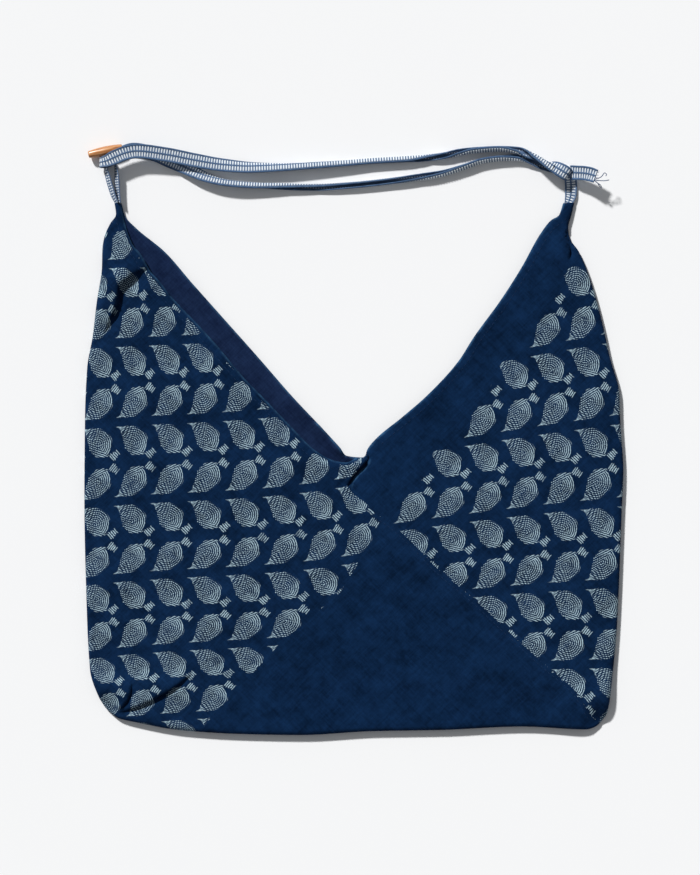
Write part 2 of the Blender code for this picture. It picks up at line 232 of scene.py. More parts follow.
# %% Edges, in millimetres
HORN_TOP = 219.6
CORNER_LEFT = (-231.6, -250.2)
CORNER_RIGHT = (229.4, -264.6)
LEFT_FOLD = (  # y, x
    (-250.2, -231.6), (-240, -237.6), (-215, -245.7), (-160, -248.7), (-55, -251), (20, -250.4),
    (66, -248.4), (95, -243.4), (129, -239.1), (160, -234.6), (176, -234.3), (188, -232.4),
    (201, -226.8), (209, -221.6), (HORN_TOP, -223),
)
BOTTOM_FOLD = (  # x, y
    (-231.6, -250.2), (-227.2, -254.4), (-219.5, -260), (-207, -263), (-160, -271.3),
    (-106, -274.7), (-50, -275.7), (17, -272.1), (80, -271), (157, -267.8), (217, -270.5),
    (225, -268), (229.4, -264.6),
)
RIGHT_FOLD = (
    (-264.6, 229.4), (-254.5, 236), (-219, 241), (-172, 245.2), (-66, 249.6), (-30, 251),
    (22, 248), (40, 247.6), (78, 238), (103, 232.6), (129, 226.1), (154, 218.3),
    (174, 209.9), (188, 201), (197, 199.7), (209, 202.8), (HORN_TOP, 205.3),
)
LEFT_MOUTH_BACK = (   # the band's upper edge, from the apex up the left horn: x, y
    (12.5, -14), (8, -17.4), (1, -17), (-7.4, -15.6), (-12.5, -9), (-31.9, 12.5),
    (-56.6, 38.7), (-87.5, 74.2), (-124.5, 115.8), (-150.9, 145.5), (-175.8, 174),
    (-202.8, 196.4), (-213.2, 208), (-216.6, HORN_TOP),
)
LEFT_MOUTH_FRONT = (  # the front cloth's edge
    (2.9, -17.6), (-7.3, -22), (-19.6, -19.9), (-38.1, -9.1), (-55.1, 7.9), (-84.5, 38.7),
    (-101.3, 55.7), (-127, 86.4), (-146.8, 108.1), (-168.6, 131), (-182.1, 147.9),
    (-189.3, 155.9), (-198.1, 171.4), (-205.8, 180.8), (-213, 200), (-217, HORN_TOP),
)
RIGHT_MOUTH = (
    (2.9, -17.6), (9.5, -18), (12.5, -10), (21.1, 0.6), (45.7, 20.8), (69, 41.2),
    (97.4, 72.4), (111.6, 94.6), (136.8, 129.3), (156.2, 159.7), (173.1, 190),
    (183.8, 203.7), (190.9, 208), (195, HORN_TOP),
)
SEAM = (              # the left and middle squares' edge, lapped over the right square
    (226, -263), (219.6, -257.1), (206.6, -235.8), (174.7, -208), (149, -184.6),
    (112.7, -150.6), (74.4, -118.1), (64.3, -107.4), (42.9, -86.5), (29, -75.3), (21.1, -70.5),
    (10.4, -59.8), (-0.2, -52), (-6.4, -43.7),
)


def fold_line():
    """The outline along the three folds, from the left horn round to the right one."""
    fine = 0.5
    y_left = np.arange(HORN_TOP, CORNER_LEFT[1], -fine)
    x_bottom = np.arange(CORNER_LEFT[0], CORNER_RIGHT[0], fine)
    y_right = np.append(np.arange(CORNER_RIGHT[1], HORN_TOP, fine), HORN_TOP)
    return np.concatenate((
        np.column_stack((smooth(LEFT_FOLD, y_left), y_left)),
        np.column_stack((x_bottom, smooth(BOTTOM_FOLD, x_bottom))),
        np.column_stack((smooth(RIGHT_FOLD, y_right), y_right)),
    ))


print("the folds are", round(run_along(fold_line())[-1]), "mm round")

# %% [markdown]
# ## How high the front cloth lies
# Cotton of this weight doesn't lie dead flat: it rolls over at the folds, puffs where two layers
# part, and holds soft troughs from being carried. The front layer's height is a sum of such
# forms. Long ridges and troughs run from one point to another, bumps sit round a point, and
# laps are places where one edge of cloth lies on another with a sharp step between them.

# %% Tables of heights
FRONT_LEVEL = 8.0
BACK_LEVEL = 0.6
EDGE_DROPS = {"left": -0.6, "right": -1.2, "bottom": 0.2}
EDGE_REACH = 26.0
CREASES = (  # x0, y0, x1, y1, height, half width
    (-206, 168, -240, 120, 3.4, 13),
    (-222, 142, -236, 92, -1.4, 6),
    (-232, -232, -170, -230, 3.2, 12),
    (-26, -24, 2, -22, 1.2, 5),
    (-13.8, -36.2, 4, -21, 1.4, 3),
    (196, 186, 176, 120, 1.8, 8),
    (96, 62, 40, -40, -1.0, 9),
    (-60, -236, 20, -150, -0.9, 10),
    (110, -250, 170, -216, -0.8, 10),
    (-220, 10, -120, 60, 0.8, 26),
    (120, -40, 220, 20, 0.9, 26),
)
BUMPS = (  # x, y, height, reach
    (-231.6, -250.2, -3.2, 16),
    (228, -244, 5.5, 26),
    (229.4, -264.6, -7.0, 14),
    (-219, HORN_TOP, -2.6, 30),
    (200, HORN_TOP, -2.6, 30),
)
# Each lap: its line, with the upper cloth on the left hand of someone who walks along it; how
# much higher that side is and how far that reaches; how deep the lower side dips and how far.
LAPS = {
    "seam": (SEAM, 0.9, 16, 0.25, 6),
    "left horn": (
        ((-233, 96), (-227, 112), (-221.5, 126), (-219.3, 141.4), (-211, 149.8),
         (-199.8, 156.3), (-188.5, 160.2)),
        3.4, 12, 4.2, 9.5,
    ),
    "corner": (
        ((-224, -254.6), (-206.8, -250.4), (-190.5, -243.6), (-174.2, -234.6),
         (-160.3, -225.4), (-148.7, -216.6)),
        2.2, 13, 3.4, 3,
    ),
    "corner curl": (
        ((-221, -252.5), (-214, -247.6), (-208.8, -239), (-206.8, -224)),
        1.2, 9, 1.8, 2.6,
    ),
    "right horn": (
        ((199.6, 166), (200.4, 174), (199.6, 182), (197, 190)), 1.2, 5, 4.5, 2.6,
    ),
    "mouth": (
        ((-7, -45), (-1.8, -34.8), (4, -28.4), (9.6, -23.4), (11.6, -18.5)),
        2, 5, 4.6, 2.4,
    ),
}
LAP_STEP = 0.55      # how far across the sharp step between the two sides is
FADE = 26.0          # a lap grows out of flat cloth over this length at each end
print(len(CREASES), "creases,", len(BUMPS), "bumps,", len(LAPS), "laps")

# %% [markdown]
# ## Reading the heights
# Each form is a soft bell: full on its line or point, and gone a short way off. A lap is two
# half bells of different height, with the sharp step between them at its line.

# %% Height of the front cloth
def ridges(x, y, table):
    """Sum of long soft ridges, from one end to the other."""
    total = np.zeros_like(x)
    for x0, y0, x1, y1, height, half_width in table:
        along = np.array((x1 - x0, y1 - y0))
        share = np.clip(((x - x0) * along[0] + (y - y0) * along[1]) / (along @ along), 0, 1)
        away = np.hypot(x - x0 - share * along[0], y - y0 - share * along[1])
        total += height * np.exp(-((away / half_width) ** 2))
    return total


def from_line(points, x, y):
    """Distance from a line, above 0 on its left hand, and the run along it to the nearest point."""
    points = np.asarray(points, float)
    run = run_along(points)
    best = np.full(x.shape, np.inf)
    away, along = np.zeros_like(x), np.zeros_like(x)
    for (x0, y0), (x1, y1), start in zip(points[:-1], points[1:], run):
        length = np.hypot(x1 - x0, y1 - y0)
        share = np.clip(((x - x0) * (x1 - x0) + (y - y0) * (y1 - y0)) / length**2, 0, 1)
        distance = np.hypot(x - x0 - share * (x1 - x0), y - y0 - share * (y1 - y0))
        side = np.where((x1 - x0) * (y - y0) - (y1 - y0) * (x - x0) >= -1e-9, 1, -1)
        nearer = distance < best - 1e-9
        best = np.where(nearer, distance, best)
        away = np.where(nearer, side * distance, away)
        along = np.where(nearer, start + share * length, along)
    return away, along


def lap_height(name, x, y):
    line, rise, reach, dip, dip_reach = LAPS[name]
    line = evenly(rounded(line, 2.0), 4.0)
    away, along = from_line(line, x, y)
    length = run_along(line)[-1]
    above = rise * np.exp(-((np.maximum(away, 0) / reach) ** 2))
    below = -dip * np.exp(-((np.minimum(away + LAP_STEP, 0) / dip_reach) ** 2))
    step = np.clip(1 + away / LAP_STEP, 0, 1)
    room = min(FADE, length / 3)
    fade = ramp(along, 0, room) * ramp(length - along, 0, room)
    if name == "seam":
        fade = ramp(length - along, -8, 2)
    if name in ("mouth", "right horn"):
        fade = ramp(along, 0, 10)
    return (step * above + (1 - step) * below) * fade


def front_height(x, y):
    """Middle of the front cloth above the table."""
    away = {
        "left": x - smooth(LEFT_FOLD, y),
        "right": smooth(RIGHT_FOLD, y) - x,
        "bottom": y - smooth(BOTTOM_FOLD, x),
    }
    height = FRONT_LEVEL + ridges(x, y, CREASES)
    for px, py, rise, reach in BUMPS:
        height += rise * np.exp(-((x - px) ** 2 + (y - py) ** 2) / reach**2)
    for edge, drop in EDGE_DROPS.items():
        height += drop * np.exp(-((away[edge] / EDGE_REACH) ** 2))
    for name in LAPS:
        height += lap_height(name, x, y)
    return height


print("in the middle the front lies", front_height(*np.zeros((2, 1))).round(1)[0], "mm up")

# %% [markdown]
# ## The print's place on the cloth
# The print is a net of mirrored leaves, 34 mm from column to column and 72 mm for a pair of
# rows. It was printed on flat cloth, and the cloth has been pulled out of square since, so each
# printed square gets a short table of places where leaf stems meet on the finished bag, with
# their column and row. A least-squares fit turns any place on the bag into a place on the
# print. It goes into the mesh as a UV map, so the pattern stays with the cloth.

# %% The print's net
COLUMN = 34.2
ROW = 73.0            # a pair of mirrored rows
LEFT_STEMS = (        # x, y, column, row: where two leaves' stems meet
    (-221, 197.2, 0, -2), (-234.7, 127.5, -1, -1), (-204.5, 128.7, 0, -1),
    (-235.3, 49.3, -1, 0), (-204.2, 55.7, 0, 0), (-171, 55.1, 1, 0),
    (-137.6, 56, 2, 0), (-238.3, -23.6, -1, 1), (-205.6, -21.4, 0, 1), (-171.2, -20, 1, 1),
    (-137.2, -16.7, 2, 1), (-103.5, -15, 3, 1), (-67.9, -11.1, 4, 1), (-238.1, -93.9, -1, 2),
    (-205, -93.1, 0, 2), (-170.7, -90.1, 1, 2), (-135.7, -90.2, 2, 2), (-99.7, -87.4, 3, 2),
    (-64.3, -82.3, 4, 2), (-29.5, -80.9, 5, 2), (-202.1, -164, 0, 3), (-167.4, -156.3, 1, 3),
    (-132.6, -157, 2, 3), (-97.3, -157.4, 3, 3), (-62.6, -153.4, 4, 3), (-168.2, -227.2, 1, 4),
    (-132.1, -224.6, 2, 4),
)
RIGHT_STEMS = (
    (209.8, 127.3, 2, -1), (153.7, 42.2, 0, 0), (187.1, 47.9, 1, 0), (220.9, 52.4, 2, 0),
    (89.5, -40.8, -2, 1), (123.4, -34.8, -1, 1), (157.8, -30.2, 0, 1), (192.5, -25, 1, 1),
    (227, -23.8, 2, 1), (128.4, -108, -1, 2), (162.3, -104, 0, 2), (196.9, -101.2, 1, 2),
    (231.2, -95.1, 2, 2), (167.7, -172, 0, 3), (201.9, -175.3, 1, 3),
    (55, -45.5, -3, 1), (58, -113.5, -3, 2),
)


def powers(x, y, degree):
    """All products of powers of x and y up to a degree, at a scale that keeps them near 1."""
    x, y = np.asarray(x) / 200.0, np.asarray(y) / 200.0
    return np.column_stack([x**i * y**j for i in range(degree + 1) for j in range(degree + 1 - i)])


def net(stems, degree):
    """A function from a place on the bag to a place on the flat print, in millimetres."""
    x, y, column, row = np.array(stems, float).T
    terms = powers(x, y, degree)
    print_x = np.linalg.lstsq(terms, column * COLUMN, rcond=None)[0]
    print_y = np.linalg.lstsq(terms, row * ROW, rcond=None)[0]
    off = np.hypot(terms @ print_x - column * COLUMN, terms @ print_y - row * ROW)
    print("print net: off by", off.mean().round(2), "mm, most", off.max().round(2))
    return lambda px, py: np.column_stack([powers(px, py, degree) @ c for c in (print_x, print_y)])


left_net = net(LEFT_STEMS, 3)
right_net = net(RIGHT_STEMS, 2)

# %% [markdown]
# ## The cloth's mesh
# The front and the back are flat shapes with holes and creases at odd angles, so a grid would
# step along their edges. A constrained Delaunay triangulation fills an outline evenly and keeps
# every line that it is given as edges, so that a hem or a lap stays crisp.

# %% The cloth's mesh
CELL = 2.5            # size of the cloth's mesh
CLOTH = 1.0           # thickness of the cloth
BEND_STEPS = 7
WIDEST_BEND = 0.36


def inside(polygon, x, y):
    """Which points lie inside a closed line."""
    found = np.zeros(x.shape, bool)
    for (x0, y0), (x1, y1) in zip(polygon, np.roll(polygon, -1, axis=0)):
        crosses = (y0 > y) != (y1 > y)
        with np.errstate(divide="ignore", invalid="ignore"):
            at = (x1 - x0) * (y - y0) / (y1 - y0) + x0
        found ^= crosses & (x < at)
    return found


def filled(outline, lines, cell):
    """Even triangles inside an outline, with edges kept along `lines`. Gives points and faces."""
    low, high = outline.min(0), outline.max(0)
    xs, ys = np.meshgrid(np.arange(low[0], high[0], cell), np.arange(low[1], high[1], cell))
    xs, ys = xs.ravel(), ys.ravel()
    keep = inside(outline, xs, ys)
    xs, ys = xs[keep], ys[keep]
    for line in (np.vstack((outline, outline[:1])), *lines):
        away, _ = from_line(evenly(line, 2 * cell) if len(line) > 400 else line, xs, ys)
        keep = np.abs(away) > 0.62 * cell
        xs, ys = xs[keep], ys[keep]
    points = [Vector(p) for p in outline]
    edges = [(i, (i + 1) % len(outline)) for i in range(len(outline))]
    for line in lines:
        first = len(points)
        points += [Vector(p) for p in line]
        edges += [(first + i, first + i + 1) for i in range(len(line) - 1)]
    points += [Vector(p) for p in zip(xs, ys)]
    spots, _, faces, *_ = delaunay_2d_cdt(points, edges, [], 1, 1e-4)
    return np.array([tuple(s) for s in spots]), faces


def parallel(line, shift):
    """A line `shift` to the right hand of another."""
    way = np.gradient(line, axis=0)
    way /= np.linalg.norm(way, axis=1)[:, None]
    return line + shift * np.column_stack((way[:, 1], -way[:, 0]))


print("cells of", CELL, "mm, cloth", CLOTH, "mm thick")

# %% [markdown]
# ## Where the folds bend
# At a fold the cloth goes round a half circle from the front layer to the back one. Its radius is
# half of the front's height there, and less in the horns, where the cloth is squeezed narrow.

# %% Bends
NECK_FROM = 120.0     # above this the horns are narrow enough to squeeze the bend


def near_neck(x, y):
    """How wide the front cloth is across each horn, from its fold to the mouth."""
    left = smooth([(b, a) for a, b in LEFT_MOUTH_FRONT[4:]], y) - x
    right = x - smooth([(b, a) for a, b in RIGHT_MOUTH[2:]], y)
    return np.where(y < NECK_FROM, np.inf, np.where(x < 0, left, right))


# The folds' outline, its way inward, and where each bend starts on the front cloth.
edge = evenly(fold_line(), CELL)
way = np.gradient(edge, axis=0)
for _ in range(6):
    way[1:-1] = (way[:-2] + 2 * way[1:-1] + way[2:]) / 4
way /= np.linalg.norm(way, axis=1)[:, None]
inward = np.column_stack((-way[:, 1], way[:, 0]))
edge = edge + inward * CLOTH / 2
radius = (front_height(*edge.T) - BACK_LEVEL) / 2
radius = np.minimum(radius, WIDEST_BEND * near_neck(*edge.T))
bend_start = edge + inward * radius[:, None]
bend_top = front_height(*bend_start.T)
print("outline points", len(edge), "bends", radius.min().round(2), "to", radius.max().round(2))

# %% [markdown]
# ## Front and back layers
# The front ends where its bends start, and at the mouth. The back lies on the table and rises a
# little to the mouth, so that its band meets the front. Hems are turned twice, which makes them
# thicker, and their edge rolls down.

# %% Front and back layers
BACK_CELL = 4.5
BAND_LIFT = (         # the back cloth rises towards the mouth: x0, y0, x1, y1, height, half width
    (-210, 200, -150, 142, 3.2, 13), (-150, 142, -52, 34, 3.0, 13), (-52, 34, -31.9, 12.5, 2.6, 9),
    (-31.9, 12.5, -12.5, -8, 3.4, 6), (-12.5, -8, 6, -16, 4.4, 5),
)
MOUTH_ROLL = 1.3      # how far the cloth rolls down at the mouth's edges
ROLL_REACH = 2.4
HEM = 8.5             # turned twice and sewn, so the cloth is thicker here
HEM_RISE = 0.35


def mouth_distance(x, y):
    """Distance from the front cloth's edge at the left and at the right of the mouth."""
    left = from_line(evenly(rounded(LEFT_MOUTH_FRONT, 3.0), 4.0), x, y)[0]
    right = from_line(evenly(rounded(RIGHT_MOUTH, 3.0), 4.0), x, y)[0]
    return np.abs(left), np.abs(right)


def front_layer():
    mouth = np.vstack((
        rounded(RIGHT_MOUTH, CELL)[::-1], rounded(LEFT_MOUTH_FRONT, CELL)[1:],
    ))
    outline = np.vstack((bend_start, mouth))
    keep = np.append(np.linalg.norm(np.diff(outline, axis=0), axis=1) > 0.3 * CELL, True)
    keep[:len(bend_start)] = True
    outline = outline[keep]
    lines = []
    for name, (line, *_) in LAPS.items():
        line = rounded(line, CELL)
        line = line[inside(outline, *line.T)]
        margin = np.abs(from_line(outline, *line.T)[0]) > CELL
        lines += [line[margin], parallel(line, LAP_STEP)[margin]]
        if name == "mouth":
            lines += [parallel(line, side)[margin] for side in (-3.2, -1.6, 2.0, 3.6, 5.2)]
    spots, faces = filled(outline, lines, CELL)
    height = front_height(*spots.T)
    for away in mouth_distance(*spots.T):
        height += HEM_RISE * ramp(HEM - away, -0.6, 0.6)
        height -= MOUTH_ROLL * np.exp(-((away / ROLL_REACH) ** 2))
    return spots, height, faces


def back_layer():
    mouth = np.vstack((
        parallel(rounded(RIGHT_MOUTH[2:], BACK_CELL), 1.0)[::-1],
        rounded(LEFT_MOUTH_BACK, BACK_CELL / 2)[1:],
    ))
    outline = np.vstack((bend_start, mouth))
    spots, faces = filled(outline, [], BACK_CELL)
    height = BACK_LEVEL + ridges(*spots.T, BAND_LIFT)
    return spots, height, faces


front = front_layer()
back = back_layer()
print("front", len(front[0]), "points", len(front[2]), "faces; back", len(back[0]), len(back[2]))

# %% [markdown]
# ## One cloth
# Rings of points go round each bend and join the layers, so the folded strip is one mesh, as it
# is one cloth. Each point also keeps its place with the bend opened flat, for the print.

# %% One cloth from both layers and the bend between them
LEFT_SIDE, MIDDLE, RIGHT_SIDE = 0, 1, 2


def row_of(spots, wanted):
    """The places in `spots` of the wanted points."""
    known = {tuple(np.round(p, 2)): i for i, p in enumerate(spots)}
    return [known[tuple(np.round(p, 2))] for p in wanted]


def bag_mesh():
    spots, height, faces = front
    back_spots, back_height, back_faces = back
    points = [np.column_stack((spots, height)), np.column_stack((back_spots, back_height))]
    unrolled = [spots, back_spots]
    base = len(spots)
    all_faces = [tuple(f) for f in faces]
    all_faces += [tuple(base + i for i in reversed(f)) for f in back_faces]
    rows = [row_of(spots, bend_start)]
    total = base + len(back_spots)
    half_height = (bend_top - BACK_LEVEL) / 2
    for step in range(1, BEND_STEPS):
        turn = np.pi * step / BEND_STEPS
        ring = bend_start - inward * (radius * np.sin(turn))[:, None]
        points.append(np.column_stack((ring, BACK_LEVEL + half_height * (1 + np.cos(turn)))))
        unrolled.append(bend_start - inward * (radius * turn)[:, None])
        rows.append(list(range(total, total + len(ring))))
        total += len(ring)
    rows.append([base + i for i in row_of(back_spots, bend_start)])
    for upper, lower in zip(rows[:-1], rows[1:]):
        all_faces += [
            (upper[i], lower[i], lower[i + 1], upper[i + 1]) for i in range(len(upper) - 1)
        ]
    return np.vstack(points), np.vstack(unrolled), all_faces


points, unrolled, faces = bag_mesh()
print("one cloth:", len(points), "points", len(faces), "faces")
is_back = (np.arange(len(points)) >= len(front[0]))
is_back &= np.arange(len(points)) < len(front[0]) + len(back[0])

# %% [markdown]
# ## What the finish needs to know
# The print ends in straight edges where its blocks stopped, so each point of the mesh carries
# its distance from that edge. It also carries its distance from the nearest hem, where indigo
# wears pale first and where a highlight along the hem's edge is painted. Both are attributes,
# which the material reads back. The print's own UV map differs on the two sides of the lapped
# seam, so it is kept for each corner of each face.

# %% Print map and wear
PRINT_END_LEFT = ((-138.4, -265.9), (-68.7, -190.6), (-12.9, -143.2), (2.9, -118.1),
                  (27.1, -77.2), (60, -36))
PRINT_END_RIGHT = (
    (-40, -178.9), (33.5, -76), (44.5, -44), (61.5, -41), (71.5, -18), (76, -6),
    (98.5, -3), (103, 22), (126, 42), (129, 58), (142, 78), (161, 81),
    (163.5, 98), (178, 116), (186, 124), (189, 142), (195, 152), (225, 200),
)
PRINT_TOP = 199.0            # none above this on the left horn
SQUARES_MEET = (*SEAM, (1.1, -32.5), (9.0, -20.0), (6.0, 0.0), (6.0, 260.0))
PLAIN_BORDER = 53.0          # left unprinted along the strip's short end
PRINT_MARGIN = 2.5           # unprinted along the left of the mouth
CENTRE = (-9.0, -42.0)
UNROLLED_BEND = 1.14 * 4.0   # what the bend takes up when the cloth is opened flat


def back_square(x, y):
    """Which square a place on the back layer belongs to."""
    left = from_line((CORNER_LEFT, CENTRE, (CENTRE[0], HORN_TOP)), x, y)[0] > 0
    right = from_line((CORNER_RIGHT, CENTRE, (CENTRE[0], HORN_TOP)), x, y)[0] < 0
    return np.where(left, LEFT_SIDE, np.where(right, RIGHT_SIDE, MIDDLE))

# %% Print and hem, point by point
def print_places():
    """For each point: its place on the left and on the right print, and its distance inside."""
    x, y = unrolled.T
    square = np.where(from_line(SQUARES_MEET, x, y)[0] > -LAP_STEP / 2, LEFT_SIDE, RIGHT_SIDE)
    square = np.where(is_back, back_square(x, y), square)
    flat = unrolled.copy()
    left, right = (is_back & (square == side) for side in (LEFT_SIDE, RIGHT_SIDE))
    middle = is_back & (square == MIDDLE)
    flat[left, 0] = 2 * smooth(LEFT_FOLD, y[left]) - x[left] - UNROLLED_BEND
    flat[right, 0] = 2 * smooth(RIGHT_FOLD, y[right]) - x[right] + UNROLLED_BEND
    flat[middle, 1] = 2 * smooth(BOTTOM_FOLD, x[middle]) - y[middle] - UNROLLED_BEND
    on_left = np.minimum(from_line(PRINT_END_LEFT, *flat.T)[0], PRINT_TOP - y)
    on_right = -from_line(PRINT_END_RIGHT, *flat.T)[0]
    mouth = np.abs(from_line(LEFT_MOUTH_FRONT, x, y)[0]) - PRINT_MARGIN
    border = np.abs(from_line(LEFT_MOUTH_BACK, x, y)[0]) - PLAIN_BORDER
    on_left = np.minimum(on_left, np.where(left, border, np.where(is_back, 9.0, mouth)))
    left_map = np.where(is_back[:, None], left_net_flat(*flat.T), left_net(*flat.T))
    right_map = np.where(is_back[:, None], right_net_flat(*flat.T), right_net(*flat.T))
    return left_map, right_map, np.where(square == RIGHT_SIDE, on_right, on_left)


def hem_distance():
    """Distance from the nearest free edge of the cloth's own layer."""
    x, y = unrolled.T
    edges = [LEFT_MOUTH_FRONT, RIGHT_MOUTH[2:], parallel(evenly(LAPS["mouth"][0], 2.0), 3.4)]
    away = np.min([np.abs(from_line(line, x, y)[0]) for line in edges], axis=0)
    return np.where(is_back, np.abs(from_line(LEFT_MOUTH_BACK, x, y)[0]), away)

# %% The bag's mesh
def add_number(mesh, name, values):
    mesh.attributes.new(name, "FLOAT", "POINT").data.foreach_set("value", values.astype(np.float32))


def add_print_map(mesh, left_map, right_map):
    corner_point = np.empty(len(mesh.loops), np.int32)
    mesh.loops.foreach_get("vertex_index", corner_point)
    corner_face = np.repeat(np.arange(len(mesh.polygons)), [p.loop_total for p in mesh.polygons])
    centre = np.empty(len(mesh.polygons) * 3)
    mesh.polygons.foreach_get("center", centre)
    centre = centre.reshape(-1, 3) / MM
    on_left = from_line(SQUARES_MEET, centre[:, 0], centre[:, 1])[0] > -LAP_STEP / 2
    low = centre[:, 2] < BACK_LEVEL + 0.5
    face_left = np.where(low, back_square(centre[:, 0], centre[:, 1]) != RIGHT_SIDE, on_left)
    places = np.where(face_left[corner_face][:, None], left_map[corner_point],
                      right_map[corner_point])
    mesh.uv_layers.new(name="print").data.foreach_set("uv", places.ravel())


left_net_flat, right_net_flat = net(LEFT_STEMS, 1), net(RIGHT_STEMS, 1)
left_map, right_map, inside_print = print_places()
mesh = bpy.data.meshes.new("bag_cloth")
mesh.from_pydata([tuple(p) for p in points * MM], [], faces)
add_number(mesh, "inside_print", inside_print)
add_number(mesh, "from_hem", hem_distance())
add_print_map(mesh, left_map, right_map)
bag = object_of("bag_cloth", mesh)
print("printed:", round(100 * (inside_print > 0).mean()), "% of the points")

# %% [markdown]
# ## Indigo cotton with a leaf print
# The cloth is plain-woven cotton, dyed with indigo. Indigo never takes evenly, so the ground is
# mottled, with slubs along both thread directions, and it wears pale along the hems, where the
# pale is also a painted highlight on the hem's edge. The leaves
# were printed by hand with a carved block: lines a little under 2 mm apart that bend round the
# leaf's midrib, breaking up into dots towards its tip. A block repeats one drawing, so it is
# drawn once, by formulas: the leaf is what lies between two curves along its midrib, its lines
# run straight above the midrib and in arcs below it, and folding the rows back and forth
# mirrors every other one.

# %% Leaf print
STEM = (9.85, 13.6)                # from the middle of the leaf to its stem, mm
MIDRIB = (-0.727, -0.687)          # from the stem to the tip
MIDRIB_LENGTH = 40.0
LEAF_ABOVE = (                     # along the midrib, width on its upper side
    (0, 0), (2, 3.2), (5.7, 6.6), (12, 9.4), (16.7, 9), (21, 6.4), (26.7, 2.9),
    (31, 0.6), (34.6, -1), (38.3, 0), (40, -1.5),
)
LEAF_BELOW = (
    (0, 0), (2, 3.8), (3.7, 7.6), (6.6, 11.7), (9.7, 13.9), (15.7, 14.7), (22.9, 13.3),
    (29.3, 9.6), (33.6, 4.6), (36.5, 2.2), (38.6, 0), (40, -2),
)
LOWEST_WIDTH, WIDEST = -2.0, 16.0
LINE_WAY = (0.927, 0.375)          # of the lines above the midrib
ARC_CENTRE = (-11.8, -10.5)        # of the arcs below it, from the stem
LINE_PITCH = 1.86
DOT_PITCH = 1.8
SPRIG_MIDDLE = (6.1, -0.5)         # from the stem
SPRIG_WAY = (0.643, 0.766)         # of its strokes
SPRIG_PITCH = 1.95
LEAF_HEIGHT = 17.0                 # of its middle above the line where tips meet
LEAF_LEAN = 1.02                   # sideways for each millimetre up, of the gap between leaves
LEAF_GAP_FROM = -12.0 - LEAF_LEAN * 4.3
PRINT_SHIFT = 1.3                  # of the net, so that the leaves lie on their marks
SHAKE = 1.3                        # how unsteady the printed lines are, mm
SOFT = {"interpolation_type": "SMOOTHSTEP"}


print("the leaf is", MIDRIB_LENGTH, "mm long")

# %% [markdown]
# ## The leaf as nodes
# A float curve node holds each of the two outlines. Then everything is measured from the stem:
# along the midrib and across it, which line a place is on, and how far along that line.

# %% Leaf
def profile(add, along, table):
    """Reads a width from a drawn curve."""
    spots = [(a / MIDRIB_LENGTH, (b - LOWEST_WIDTH) / (WIDEST - LOWEST_WIDTH)) for a, b in table]
    read = add("FloatCurve", {"Value": add("Math DIVIDE", along, MIDRIB_LENGTH)})
    curve = read.node.mapping.curves[0]
    curve.points[0].location, curve.points[1].location = spots[0], spots[-1]
    for spot in spots[1:-1]:
        curve.points.new(*spot)
    read.node.mapping.update()
    return add("Math MULTIPLY_ADD", read, WIDEST - LOWEST_WIDTH, LOWEST_WIDTH)


def leaf(add, spot):
    """One leaf: its outline, and its lines and dots."""
    along = add("VectorMath DOT_PRODUCT", spot, (*MIDRIB, 0), out="Value")
    across = add("VectorMath DOT_PRODUCT", spot, (MIDRIB[1], -MIDRIB[0], 0), out="Value")
    above = add("Math SUBTRACT", profile(add, along, LEAF_ABOVE), across)
    below = add("Math ADD", profile(add, along, LEAF_BELOW), across)
    in_leaf = add("MapRange", add("Math MINIMUM", above, below), 0.0, 0.9, **SOFT)

    # Two families of lines: `row` counts them, and `run` goes along each.
    upper = add("Math GREATER_THAN", across, 0.0)
    over = add("VectorMath DOT_PRODUCT", spot, (-LINE_WAY[1], LINE_WAY[0], 0), out="Value")
    arc = add("VectorMath DISTANCE", spot, (*ARC_CENTRE, 0), out="Value")
    row = add("Math MULTIPLY_ADD", upper, add("Math SUBTRACT", over, arc), arc)
    sideways = add("VectorMath DOT_PRODUCT", spot, (*LINE_WAY, 0), out="Value")
    run = add("Math MULTIPLY_ADD", upper, add("Math SUBTRACT", sideways, along), along)
    lines = add("Math SINE", add("Math MULTIPLY", row, 2 * np.pi / LINE_PITCH))
    lines = add("MapRange", lines, -0.15, 0.85, **SOFT)
    shift = add("Math FLOOR", add("Math DIVIDE", row, LINE_PITCH))
    shift = add("Math MULTIPLY", shift, np.pi)
    dots = add("Math SINE", add("Math MULTIPLY_ADD", run, 2 * np.pi / DOT_PITCH, shift))
    dots = add("MapRange", dots, -0.8, 0.45, **SOFT)
    dotted = add("MapRange", along, 7.0, 14.0, **SOFT)
    dots = add("Math MAXIMUM", dots, add("Math SUBTRACT", 1.0, dotted))
    drawn = add("Math MULTIPLY", add("Math MULTIPLY", lines, dots), in_leaf)
    tip = add("Math MULTIPLY", add("MapRange", along, 30.0, 35.0, **SOFT), in_leaf)
    return add("Math MAXIMUM", drawn, add("Math MULTIPLY", tip, 0.6))

# %% Sprig, and the whole print
def sprig(add, spot):
    """The small sprig past the stem: five strokes, the nearest one longest."""
    spot = add("VectorMath SUBTRACT", spot, (*SPRIG_MIDDLE, 0))
    outwards = add("VectorMath DOT_PRODUCT", spot, (SPRIG_WAY[1], -SPRIG_WAY[0], 0), out="Value")
    stroke = add("VectorMath DOT_PRODUCT", spot, (*SPRIG_WAY, 0), out="Value")
    ragged = add("Math SINE", add("Math MULTIPLY", outwards, 1.9))
    half_length = add("Math MULTIPLY_ADD", ragged, 0.7, 3.5)
    half_length = add("Math MULTIPLY_ADD", outwards, -0.18, half_length)
    ends = add("Math SUBTRACT", 2.4 * SPRIG_PITCH, add("Math ABSOLUTE", outwards))
    within = add("Math SUBTRACT", half_length, add("Math ABSOLUTE", stroke))
    within = add("MapRange", add("Math MINIMUM", within, ends), 0.0, 1.1, **SOFT)
    stripes = add("Math COSINE", add("Math MULTIPLY", outwards, 2 * np.pi / SPRIG_PITCH))
    return add("Math MULTIPLY", add("MapRange", stripes, -0.4, 0.6, **SOFT), within)


